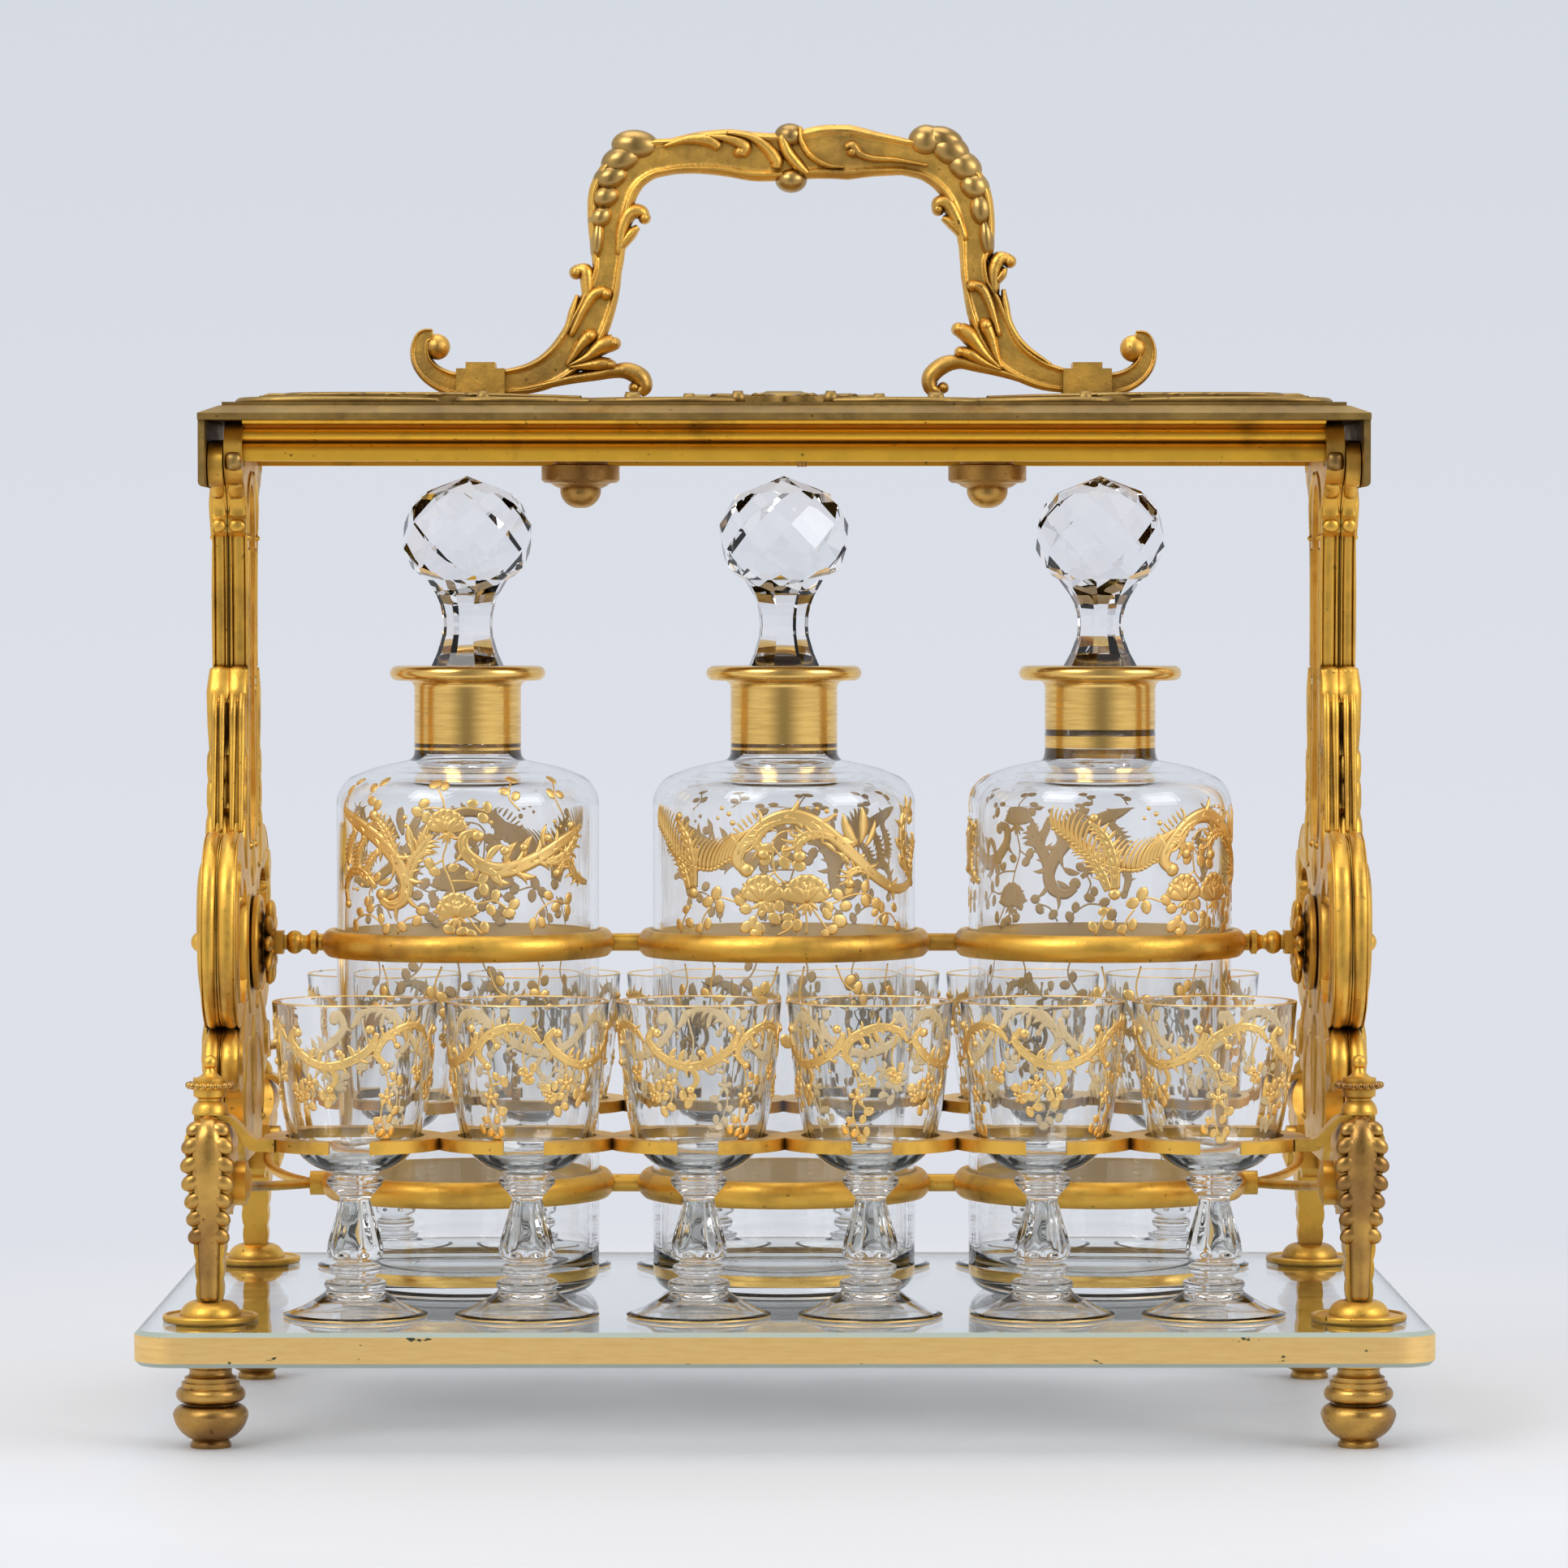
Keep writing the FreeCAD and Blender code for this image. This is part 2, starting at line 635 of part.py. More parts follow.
# Pivot pin from the ring holder's spindle out through both castings.
def pivot_pin():
    start = rosette_x - rosette_depth - pivot_pin_bite
    end = outer_face_x + ball_nut_collar + ball_nut_radius
    return rod(pivot_pin_radius, end - start, start, 0, pivot_height, Vector(1, 0, 0))


def ball_nut():
    collar = rod(ball_nut_radius * ball_nut_neck_share, ball_nut_collar + ball_nut_radius,
                 outer_face_x, 0, pivot_height, Vector(1, 0, 0))
    centre = Vector(outer_face_x + ball_nut_collar + ball_nut_radius, 0, pivot_height)
    ball = Part.makeSphere(ball_nut_radius, centre)
    bore = rod(pivot_pin_radius + pivot_clearance,
               overrun + ball_nut_collar + ball_nut_radius + pivot_clearance,
               outer_face_x - overrun, 0, pivot_height, Vector(1, 0, 0))
    return collar.fuse(ball).removeSplitter().cut(bore)


# One ring that a decanter stands in: upright inside, rounded outside.
def decanter_ring(x, z):
    half = ring_height / 2
    belly = ring_outer - ring_wall / 2
    low_in = front_point(ring_inner, -half)
    low_out = front_point(belly, -half)
    high_out = front_point(belly, half)
    high_in = front_point(ring_inner, half)
    edges = [
        Part.LineSegment(low_in, low_out).toShape(),
        Part.Arc(low_out, front_point(ring_outer, 0), high_out).toShape(),
        Part.LineSegment(high_out, high_in).toShape(),
        Part.LineSegment(high_in, low_in).toShape()]
    ring = face_of(edges).revolve(Vector(0, 0, 0), Vector(0, 0, 1), 360)
    return moved(ring, x, 0, z)


# Three rings joined by short links.
def ring_row(z):
    rings = [decanter_ring(x, z) for x in (-decanter_pitch, 0, decanter_pitch)]
    links = []
    for x in (-decanter_pitch / 2, decanter_pitch / 2):
        length = link_length + 2 * link_bite
        links.append(rod(link_radius, length, x - length / 2, 0, z, Vector(1, 0, 0)))
    return rings, links


# End spindle of the upper holder, turned, with a square block at the rosette.
def end_spindle():
    start = holder_end - link_bite
    length = rosette_x - rosette_depth - start
    solid = laid_along_x(turned(spindle_shares, spindle_radius, length), 1)
    solid.translate(Vector(start, 0, pivot_height))
    half = spindle_block / 2
    square = block(start + spindle_square_share * length, start + length, -half, half,
                   pivot_height - half, pivot_height + half)
    return solid.fuse(square)


def upper_ring_holder():
    rings, links = ring_row(pivot_height)
    spindle = end_spindle()
    parts = rings[1:] + links + [spindle, mirrored_left(spindle)]
    solid = rings[0].fuse(parts).removeSplitter()
    start = rosette_x - rosette_depth - pivot_pin_bite
    for x in (start - bolt_clearance, -rosette_x):
        solid = solid.cut(rod(pivot_pin_radius + pivot_clearance,
                              rosette_x - start + bolt_clearance, x, 0, pivot_height,
                              Vector(1, 0, 0)))
    return solid


def lower_ring_holder():
    rings, links = ring_row(lower_ring_height)
    start = holder_end - link_bite
    boss = rod(spindle_radius, fork_boss_length + link_bite, start, 0, lower_ring_height,
               Vector(1, 0, 0))
    parts = rings[1:] + links + [boss, mirrored_left(boss)]
    return rings[0].fuse(parts).removeSplitter()


# Bent wires from each end of the lower holder to the bosses of the legs.
def front_right_fork_wire():
    start_x = holder_end + fork_boss_length
    start = Vector(start_x, -fork_wire_radius, lower_ring_height)
    end_y = -post_y + leg_reach * leg_boss_shares[0]
    end_z = leg_foot_z + leg_height * leg_boss_shares[1]
    end = Vector(post_x - leg_top_half_width, end_y, end_z)
    along, across, up = fork_bend_shares
    middle = Vector(start_x + along * (end.x - start_x), across * end_y,
                    lower_ring_height + up * (end_z - lower_ring_height))
    path = Part.Wire(Part.Arc(start, middle, end).toShape())
    tangent = path.Edges[0].tangentAt(path.Edges[0].FirstParameter)
    ring = Part.Wire(Part.makeCircle(fork_wire_radius, start, tangent))
    return path.makePipeShell([ring], True, False)


def fork_wires():
    wire = front_right_fork_wire()
    holder = lower_ring_holder()
    corner_wires = []
    for x_side in (-1, 1):
        for y_side in (-1, 1):
            copy = wire.copy()
            if x_side < 0:
                copy = copy.mirror(Vector(0, 0, 0), Vector(1, 0, 0))
            if y_side > 0:
                copy = copy.mirror(Vector(0, 0, 0), Vector(0, 1, 0))
            corner_wires.append(copy.cut(holder))
    return corner_wires


# The latitudes of the rows of facets above the equator of a diamond-cut ball.
# The facets of a row stand over the gaps of the row below. Two rows lie alike
# on each side of the equator, and each row further up follows from the two
# before it, so that four facets meet at every point: their normals lie in one
# plane, and so the next normal is on the line from the row before last through
# the middle of two neighbours in the last row.
def facet_latitudes():
    half_turn = math.pi / facet_count
    last = half_turn / 2
    before = -last
    rows = [last]
    while len(rows) < facet_rows_above_count:
        start = Vector(math.cos(before), math.sin(before), 0)
        line = Vector(math.cos(last) * math.cos(half_turn), math.sin(last), 0) - start
        line.normalize()
        beyond = start - line * 2 * start.dot(line)
        before = last
        last = math.asin(beyond.y)
        rows.append(last)
    return rows


# The planes that cut a ball into flat facets, row by row from the top. The
# first and last rows are cut a little deeper than the rest.
def facet_planes(radius):
    above = facet_latitudes()
    below = [-latitude for latitude in above[:facet_rows_below_count]]
    rows = [(math.radians(top_facet_degrees), radius * end_facet_share)]
    rows += [(latitude, radius) for latitude in above[::-1] + below]
    rows.append((math.radians(low_facet_degrees), radius * end_facet_share))
    planes = []
    for row, (latitude, distance) in enumerate(rows):
        for index in range(facet_count):
            round_angle = 2 * math.pi * (index + row / 2) / facet_count
            normal = Vector(math.cos(latitude) * math.cos(round_angle),
                            math.cos(latitude) * math.sin(round_angle), math.sin(latitude))
            planes.append((normal, distance))
    return planes


# The part of a polygon that lies behind a plane.
def clip_polygon(corners, normal, distance):
    kept = []
    for index, here in enumerate(corners):
        there = corners[(index + 1) % len(corners)]
        here_out = here.dot(normal) - distance
        there_out = there.dot(normal) - distance
        if here_out <= 0:
            kept.append(here)
        if here_out * there_out < 0:
            share = here_out / (here_out - there_out)
            kept.append(here + (there - here) * share)
    return kept


def faceted_ball(radius):
    planes = facet_planes(radius)
    faces = []
    for index, (normal, distance) in enumerate(planes):
        steep = abs(normal.z) > abs(normal.x) + abs(normal.y)
        helper = Vector(1, 0, 0) if steep else Vector(0, 0, 1)
        right = normal.cross(helper)
        right.normalize()
        up = normal.cross(right)
        centre = normal * distance
        right = right * 2 * radius
        up = up * 2 * radius
        corners = [centre + right + up, centre - right + up, centre - right - up, centre + right - up]
        for other, (other_normal, other_distance) in enumerate(planes):
            if other != index and len(corners) > 2:
                corners = clip_polygon(corners, other_normal, other_distance)
        if len(corners) > 2:
            faces.append(Part.Face(Part.makePolygon(corners + corners[:1])))
    shell = Part.Shell(faces)
    shell.sewShape()
    return Part.Solid(Part.Shell(shell.Faces))


# A lead glass stopper: the cut ball on a fluted stem, with a ground plug below.
def stopper(waist_radius):
    ball = faceted_ball(stopper_ball_radius)
    point_height = stopper_ball_radius * end_facet_share / math.sin(math.radians(top_facet_degrees))
    ball.translate(Vector(0, 0, lip_top_z + stopper_rise - point_height))
    mouth = decanter_bore_radius - stopper_clearance
    stations = []
    for height, flare in stopper_stem_shares:
        stations.append((lip_top_z + stopper_stem_height * height,
                         waist_radius + (mouth - waist_radius) * flare))
    stem = cut_column(facet_count, stations)
    plug_end = mouth - decanter_bore_taper * stopper_plug_length / decanter_neck_height
    plug = Part.makeCone(plug_end, mouth, stopper_plug_length,
                         Vector(0, 0, lip_top_z - stopper_plug_length), Vector(0, 0, 1))
    return plug.fuse([stem, ball]).removeSplitter()


# A cylinder decanter with round heel and shoulder, a bored neck and a wide lip.
def decanter(neck_radius, lip_radius):
    outside = decanter_outside(neck_radius, lip_radius)
    inside = decanter_inside()
    return moved(outside.cut(inside), 0, 0, plate_top)


def decanter_outside(neck_radius, lip_radius):
    shoulder = decanter_height - decanter_shoulder_drop
    neck_high = decanter_height - decanter_lip_height
    neck_low = neck_high - decanter_neck_height
    rows = wall_rows(0.0, decanter_heel)
    rows += bent_rows(decanter_shoulder_shares, decanter_radius, decanter_radius - neck_radius,
                      shoulder, neck_low - shoulder)
    lip_edge = lip_radius - decanter_lip_height / 2
    lip_middle = (lip_radius, neck_high + decanter_lip_height / 2)
    rows += [(neck_radius, neck_high), (lip_edge, neck_high),
             (lip_middle, (lip_edge, decanter_height)), (0.0, decanter_height)]
    return turned(rows, 1, 1)


def decanter_inside():
    shoulder = decanter_height - decanter_shoulder_drop
    inner = decanter_radius - decanter_wall
    neck_low = decanter_height - decanter_lip_height - decanter_neck_height
    bore_low = decanter_bore_radius - decanter_bore_taper
    mouth = decanter_bore_radius + decanter_bore_taper * overrun / decanter_neck_height
    rows = wall_rows(decanter_wall, decanter_base + decanter_heel)
    rows += bent_rows(decanter_inside_shares, inner, inner - bore_low,
                      shoulder, neck_low - shoulder)
    rows += [(mouth, decanter_height + overrun), (0.0, decanter_height + overrun)]
    return turned(rows, 1, 1, (0.0, decanter_base))


# The floor and the round heel, some way in from the outside of the wall.
def wall_rows(inset, heel_top):
    wall = decanter_radius - inset
    floor = heel_top - decanter_heel
    bend = decanter_heel * round_share
    return [(wall - decanter_heel, floor), ((wall - bend, floor + bend), (wall, heel_top))]


# A table of shares set out inwards from a wall and upwards from a height.
def bent_rows(rows, wall, lean, height, rise):
    def place(pair):
        return (wall - lean * pair[0], height + rise * pair[1])
    return [place(row) if isinstance(row[0], float) else tuple(place(pair) for pair in row)
            for row in rows]


# A liqueur glass: round foot, knops, an eight-sided baluster and a thin bowl.
def liqueur_glass():
    foot = turned(glass_foot_shares, glass_foot_radius, glass_height)
    bowl_edges = trace(glass_bowl_start, glass_bowl_shares,
                       scaler(front_point, glass_rim_radius, glass_height))
    inside_depth = glass_height * glass_inside_share
    inside_low = glass_height - inside_depth
    inner_rim = glass_rim_radius - glass_wall
    inside_point = scaler(front_point, inner_rim, inside_depth, 0.0, inside_low)
    inside_edges = trace((0.0, 0.0), glass_inside_shares, inside_point)
    rim_out = front_point(glass_rim_radius, glass_height)
    rim_in = front_point(inner_rim, glass_height)
    bowl_low = front_point(0, glass_height * glass_bowl_start[1])
    edges = bowl_edges + [
        Part.LineSegment(rim_out, rim_in).toShape(), *reversed(inside_edges),
        Part.LineSegment(front_point(0, inside_low), bowl_low).toShape()]
    bowl = Part.Face(Part.Wire(Part.__sortEdges__(edges)))
    bowl = bowl.revolve(Vector(0, 0, 0), Vector(0, 0, 1), 360)
    stations = [(glass_height * up, glass_rim_radius * out) for up, out in glass_stem_shares]
    stem = cut_column(stem_side_count, stations)
    glass = bowl.fuse([stem, foot]).removeSplitter()
    return moved(glass, 0, 0, plate_top)


def glass_places():
    places = []
    for row, y in (("front", -glass_row_depth), ("rear", glass_row_depth)):
        for index in range(glasses_in_row):
            x = (index - (glasses_in_row - 1) / 2) * glass_pitch
            places.append(("glass_%s_%d" % (row, index + 1), x, y))
    return places


# A rack for the front row: joined discs with round holes open to the front,
# and an arm at each end that rises to the top of the corner leg.
def front_rack():
    discs = []
    cuts = []
    reach = rack_disc_radius + overrun
    for index in range(glasses_in_row):
        x = (index - (glasses_in_row - 1) / 2) * glass_pitch
        discs.append(rod(rack_disc_radius, rack_thickness, x, -glass_row_depth, rack_height))
        cuts.append(rod(rack_hole_radius, rack_thickness + 2 * overrun, x, -glass_row_depth,
                        rack_height - overrun))
        cuts.append(block(x - rack_mouth / 2, x + rack_mouth / 2, -glass_row_depth - reach,
                          -glass_row_depth, rack_height - overrun, rack_top_z + overrun))
    arm = rack_arm()
    plate = discs[0].fuse(discs[1:] + [arm, mirrored_left(arm)]).removeSplitter()
    hole = bolt_hole(leg_top_z - overrun, 2 * overrun + rack_arm_thickness)
    holes = [moved(hole, side * post_x, -post_y, 0) for side in (-1, 1)]
    return plate.cut(cuts + holes)


# The right-hand arm, seen from the front: a bar that sweeps up to the post.
def rack_arm():
    outer = post_x + rack_arm_width / 2
    inner = post_x - rack_arm_width / 2
    end = (glasses_in_row - 1) / 2 * glass_pitch + rack_hole_radius + rack_web / 3
    span = inner - end
    high = leg_top_z + rack_arm_thickness
    over = scaler(front_point, -span, high - rack_top_z, inner, rack_top_z)
    under = scaler(front_point, -span, leg_top_z - rack_height, inner, rack_height)
    bend = rack_arm_bend_share
    bar_end = (inner - end) / span
    edges = trace((0.0, 1.0), ((*rack_arm_upper_shares, (bend, 0.0)), (bar_end, 0.0)), over)
    edges += trace((bar_end, 0.0), ((bend, 0.0), (*rack_arm_lower_shares, (0.0, 1.0))), under)
    low_corner = front_point(outer, leg_top_z)
    high_corner = front_point(outer, high)
    edges += [
        Part.LineSegment(over((bar_end, 0.0)), under((bar_end, 0.0))).toShape(),
        Part.LineSegment(under((0.0, 1.0)), low_corner).toShape(),
        Part.LineSegment(low_corner, high_corner).toShape(),
        Part.LineSegment(high_corner, over((0.0, 1.0))).toShape()]
    bar = Part.Face(Part.Wire(Part.__sortEdges__(edges))).extrude(Vector(0, rack_arm_width, 0))
    bar.translate(Vector(0, -post_y - rack_arm_width / 2, 0))
    return bar


# Finial nuts that clamp the rack arms on the legs.
def finial_nuts():
    solid = turned(finial_shares, finial_radius, finial_height)
    base = leg_top_z + rack_arm_thickness
    return [moved(solid, x, y, base) for x, y in post_places()]


# A rectangle at one height, for the sloping faces of the lid.
def lid_rectangle(inset, z):
    x = lid_length / 2 - inset
    y = lid_depth / 2 - inset
    corners = [Vector(-x, -y, z), Vector(x, -y, z), Vector(x, y, z), Vector(-x, y, z)]
    return Part.makePolygon(corners + corners[:1])


# The lid: a lip, a sloping border and a raised flat middle.
def lid_plate():
    lip_top = lid_z + lid_lip
    border_top = lip_top + lid_bevel_height
    lip = Part.Face(lid_rectangle(0.0, lid_z)).extrude(Vector(0, 0, lid_lip))
    border = Part.makeLoft([lid_rectangle(0.0, lip_top), lid_rectangle(lid_bevel_width, border_top)],
                           True, True)
    inset = lid_bevel_width + lid_plateau_inset
    raised = Part.Face(lid_rectangle(inset, border_top)).extrude(Vector(0, 0, lid_plateau_height))
    lid = lip.fuse([border, raised]).removeSplitter()
    holes = [rod(screw_radius + bolt_clearance, plateau_z - lid_z + 2 * overrun, x, 0,
                 lid_z - overrun) for x in (-clamp_spread, clamp_spread)]
    return lid.cut(holes)


# An end apron hanging from the lid outside the fixed casting, rounded below.
def lid_apron():
    outer = lid_length / 2
    inner = outer - apron_thickness
    low = lid_z - apron_drop
    edges = [
        Part.LineSegment(front_point(inner, lid_z), front_point(inner, low)).toShape(),
        Part.LineSegment(front_point(inner, low), front_point(outer - apron_round, low)).toShape(),
        Part.Arc(front_point(outer - apron_round, low),
                 front_point(outer - apron_round * round_share, low + apron_round * round_share),
                 front_point(outer, low + apron_round)).toShape(),
        Part.LineSegment(front_point(outer, low + apron_round), front_point(outer, lid_z)).toShape(),
        Part.LineSegment(front_point(outer, lid_z), front_point(inner, lid_z)).toShape()]
    panel = face_of(edges).extrude(Vector(0, 2 * apron_half_depth, 0))
    panel.translate(Vector(0, -apron_half_depth, 0))
    return panel


# A moulded rail between the inner castings, along the front edge of the lid.
def front_rail():
    depth = rail_front - rail_back
    point = scaler(side_point, -depth, rail_height, -rail_back, lid_z - rail_height)
    edges = trace(rail_shares[0], rail_shares[1:], point)
    edges.append(Part.LineSegment(point(rail_shares[-1]), point(rail_shares[0])).toShape())
    rail = face_of(edges).extrude(Vector(2 * inner_casting_x, 0, 0))
    rail.translate(Vector(-inner_casting_x, 0, 0))
    return rail


# Turned knobs under the lid, between the stoppers.
def lid_knob():
    edges = trace(knob_shares[0], knob_shares[1:], scaler(front_point, knob_radius, knob_drop))
    edges.append(Part.LineSegment(front_point(0, 0), front_point(0, knob_drop)).toShape())
    knob = face_of(edges).revolve(Vector(0, 0, 0), Vector(0, 0, 1), 360)
    return moved(knob, 0, 0, lid_z - knob_drop)


# Cast ornament on the lid: four leafy scrolls and a shell in the middle.
def lid_mounts():
    half_x = lid_length / 2 - lid_bevel_width - lid_plateau_inset
    half_y = lid_depth / 2 - lid_bevel_width - lid_plateau_inset
    point = scaler(plan_point, half_x, half_y)
    leaf = face_of(trace(lid_leaf_shares[0], lid_leaf_shares[1:], point))
    leaf = moved(leaf.extrude(Vector(0, 0, mount_relief)), 0, 0, plateau_z)
    mounts = []
    for x_side in (-1, 1):
        for y_side in (-1, 1):
            mounts.append(to_corner(leaf, x_side, y_side))
    mounts.append(lid_shell(half_x * lid_shell_shares[0], half_y * lid_shell_shares[1]))
    return mounts


# An oval shell with a scalloped edge.
def lid_shell(radius_x, radius_y):
    edges = []
    for index in range(lid_shell_lobe_count):
        corners = []
        for step, swell in ((0.0, 1.0), (0.5, lid_shell_swell_share), (1.0, 1.0)):
            angle = 2 * math.pi * (index + step) / lid_shell_lobe_count
            corners.append(plan_point(radius_x * swell * math.cos(angle),
                                      radius_y * swell * math.sin(angle)))
        edges.append(Part.Arc(*corners).toShape())
    shell = face_of(edges).extrude(Vector(0, 0, mount_relief))
    return moved(shell, 0, 0, plateau_z)


# The carrying handle: its outline in full, with round lobes standing proud.
def handle():
    low = plateau_z + handle_gap
    point = scaler(front_point, handle_half_span, handle_height, 0.0, low)
    rows = handle_outer_shares[1:] + handle_inner_shares
    face = mirrored_face(handle_outer_shares[0], rows, point, Vector(1, 0, 0))
    body = face.extrude(Vector(0, handle_thickness, 0))
    body.translate(Vector(0, -handle_thickness / 2, 0))
    lobes = []
    for share_x, share_z, share_radius in handle_lobe_shares:
        radius = share_radius * handle_half_span
        for side in ((-1, 1) if share_x > 0 else (1,)):
            centre = point((side * share_x, share_z))
            lobe = rod(radius, handle_thickness + radius / 2, centre.x,
                       -handle_thickness / 2 - radius / 4, centre.z, Vector(0, 1, 0))
            lobes.append(lobe)
    grip = body.fuse(lobes).removeSplitter()
    holes = [rod(screw_radius + bolt_clearance, screw_bite + overrun, x, 0, low - overrun)
             for x in (-clamp_spread, clamp_spread)]
    return grip.cut(holes)


# A clamp that grips one arm of the handle and is screwed down from below.
def handle_clamp(x):
    half = clamp_length / 2
    cap = clamp_cap_length / 2
    width = clamp_width / 2
    top = plateau_z + clamp_height
    body = block(x - half, x + half, -width, width, plateau_z, top)
    ridge = block(x - cap, x + cap, -width, width, top, top + clamp_cap_height)
    return body.fuse(ridge).removeSplitter()


# Screws up through the clamps into the handle's feet, and the tip of one more
# near the middle of the lid.
def lid_screws():
    length = plateau_z + handle_gap + screw_bite - lid_z
    screws = []
    for x in (-clamp_spread, clamp_spread):
        head = rod(screw_head_radius, screw_head_height, x, 0, lid_z - screw_head_height)
        shank = rod(screw_radius, length, x, 0, lid_z)
        screws.append(head.fuse(shank).removeSplitter())
    screws.append(rod(screw_radius, tip_screw_drop, tip_screw_offset, tip_screw_setback - rail_back,
                      lid_z - tip_screw_drop))
    return screws


def save(name, shape):
    solids = shape if isinstance(shape, list) else [shape]
    solids = [solid for item in solids for solid in item.Solids]
    whole = solids[0] if len(solids) == 1 else Part.Compound(solids)
    whole.exportStep("parts/%s.step" % name)
    print(name, len(solids), round(sum(solid.Volume for solid in solids)), whole.isValid())


def save_stand():
    save("base_plate", base_plate())
    save("foot_bolts", foot_bolts())
    wires = fork_wires()
    foot = bun_foot()
    disc = foot_disc()
    leg = front_left_leg()
    for row, y_side in (("front", -1), ("rear", 1)):
        for column, x_side in (("left", -1), ("right", 1)):
            corner = "%s_%s" % (row, column)
            save("bun_foot_" + corner, moved(foot, x_side * post_x, y_side * post_y, 0))
            save("foot_disc_" + corner, moved(disc, x_side * post_x, y_side * post_y, 0))
            save("leg_" + corner, to_corner(leg, x_side, y_side).cut(wires))
    save("fork_wires", wires)
    save("upper_ring_holder", upper_ring_holder())
    save("lower_ring_holder", lower_ring_holder())
    rack = front_rack()
    save("rack_front", rack)
    save("rack_rear", rack.mirror(Vector(0, 0, 0), Vector(0, 1, 0)))
    save("finial_nuts", finial_nuts())
    for name, shape in (("outer_casting", outer_casting()), ("rosette", rosette()),
                        ("pivot_pin", pivot_pin()), ("ball_nut", ball_nut())):
        save(name + "_right", shape)
        save(name + "_left", mirrored_left(shape))


def save_lid_frame():
    casting = inner_casting()
    save("inner_casting_right", casting)
    save("inner_casting_left", mirrored_left(casting))
    rail = front_rail()
    save("rail_front", rail)
    save("rail_rear", rail.mirror(Vector(0, 0, 0), Vector(0, 1, 0)))
    save("lid_plate", lid_plate())
    apron = lid_apron()
    save("lid_apron_right", apron)
    save("lid_apron_left", mirrored_left(apron))
    save("lid_mounts", lid_mounts())
    knob = lid_knob()
    save("lid_knobs", [moved(knob, x, 0, 0) for x in (-knob_spread, knob_spread)])
    grip = handle()
    save("handle", grip)
    screws = lid_screws()
    for name, x in (("left", -clamp_spread), ("right", clamp_spread)):
        save("handle_clamp_" + name, handle_clamp(x).cut([grip] + screws))
    save("lid_screws", screws)


def save_glassware():
    first = (decanter_neck_radius, decanter_lip_radius, stopper_waist_radius)
    third = (third_neck_radius, third_lip_radius, third_waist_radius)
    for name, x, sizes, turn in zip(("left", "middle", "right"), (-decanter_pitch, 0, decanter_pitch),
                                    (first, first, third), stopper_turns_degrees):
        neck, lip, waist = sizes
        plug = stopper(waist)
        plug.rotate(Vector(0, 0, 0), Vector(0, 0, 1), turn)
        save("decanter_" + name, moved(decanter(neck, lip), x, 0, 0))
        save("stopper_" + name, moved(plug, x, 0, 0))
    glass = liqueur_glass()
    for name, x, y in glass_places():
        save(name, moved(glass, x, y, 0))


os.makedirs("parts", exist_ok=True)
save_stand()
save_lid_frame()
save_glassware()
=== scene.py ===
import math

import bmesh
import bpy
import numpy as np
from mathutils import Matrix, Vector


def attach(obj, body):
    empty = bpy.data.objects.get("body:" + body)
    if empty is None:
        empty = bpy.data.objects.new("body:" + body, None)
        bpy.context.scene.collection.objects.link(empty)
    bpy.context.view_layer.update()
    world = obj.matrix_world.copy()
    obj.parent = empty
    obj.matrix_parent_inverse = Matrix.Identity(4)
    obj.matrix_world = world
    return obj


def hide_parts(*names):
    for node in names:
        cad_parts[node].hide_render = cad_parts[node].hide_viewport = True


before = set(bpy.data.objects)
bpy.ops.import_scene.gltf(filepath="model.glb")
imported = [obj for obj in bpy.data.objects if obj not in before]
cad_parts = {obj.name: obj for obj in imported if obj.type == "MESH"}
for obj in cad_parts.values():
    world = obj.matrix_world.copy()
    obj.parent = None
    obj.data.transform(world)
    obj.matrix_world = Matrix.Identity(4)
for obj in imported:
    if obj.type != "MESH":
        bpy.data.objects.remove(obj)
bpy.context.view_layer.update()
mm = 0.001  # sizes below are in millimetres unless a note says otherwise
bpy.context.scene.view_settings.view_transform = "Standard"


# camera
camera = {"focal": 137.89, "sensor": 36.0, "place": (-5.6, -1848.0, 246.4),
          "pitchDown": 1.64, "yaw": -0.174, "near": 0.05, "far": 50.0}


def makeCamera(spec):
    data = bpy.data.cameras.new("camera")
    data.lens = spec["focal"]
    data.sensor_width = spec["sensor"]
    data.clip_start = spec["near"]
    data.clip_end = spec["far"]
    eye = bpy.data.objects.new("camera", data)
    eye.location = Vector(spec["place"]) * mm
    eye.rotation_euler = (math.radians(90 - spec["pitchDown"]), 0.0, math.radians(spec["yaw"]))
    bpy.context.scene.collection.objects.link(eye)
    bpy.context.scene.camera = eye


makeCamera(camera)
print("camera set")


# node helpers
def newMaterial(name):
    material = bpy.data.materials.new(name)
    material.use_nodes = True
    return material, material.node_tree, material.node_tree.nodes["Principled BSDF"]


def addNode(tree, kind, **values):
    node = tree.nodes.new(kind)
    for key, value in values.items():
        if key in node.inputs:
            node.inputs[key].default_value = value
        else:
            setattr(node, key, value)
    return node


def link(tree, source, socket):
    tree.links.new(source, socket)


def noiseOf(tree, scale, detail, stretch=(1.0, 1.0, 1.0)):
    place = addNode(tree, "ShaderNodeTexCoord")
    turn = addNode(tree, "ShaderNodeMapping")
    turn.inputs["Scale"].default_value = stretch
    noise = addNode(tree, "ShaderNodeTexNoise", Scale=scale, Detail=detail, Roughness=0.55)
    link(tree, place.outputs["Object"], turn.inputs["Vector"])
    link(tree, turn.outputs["Vector"], noise.inputs["Vector"])
    return noise.outputs["Fac"]


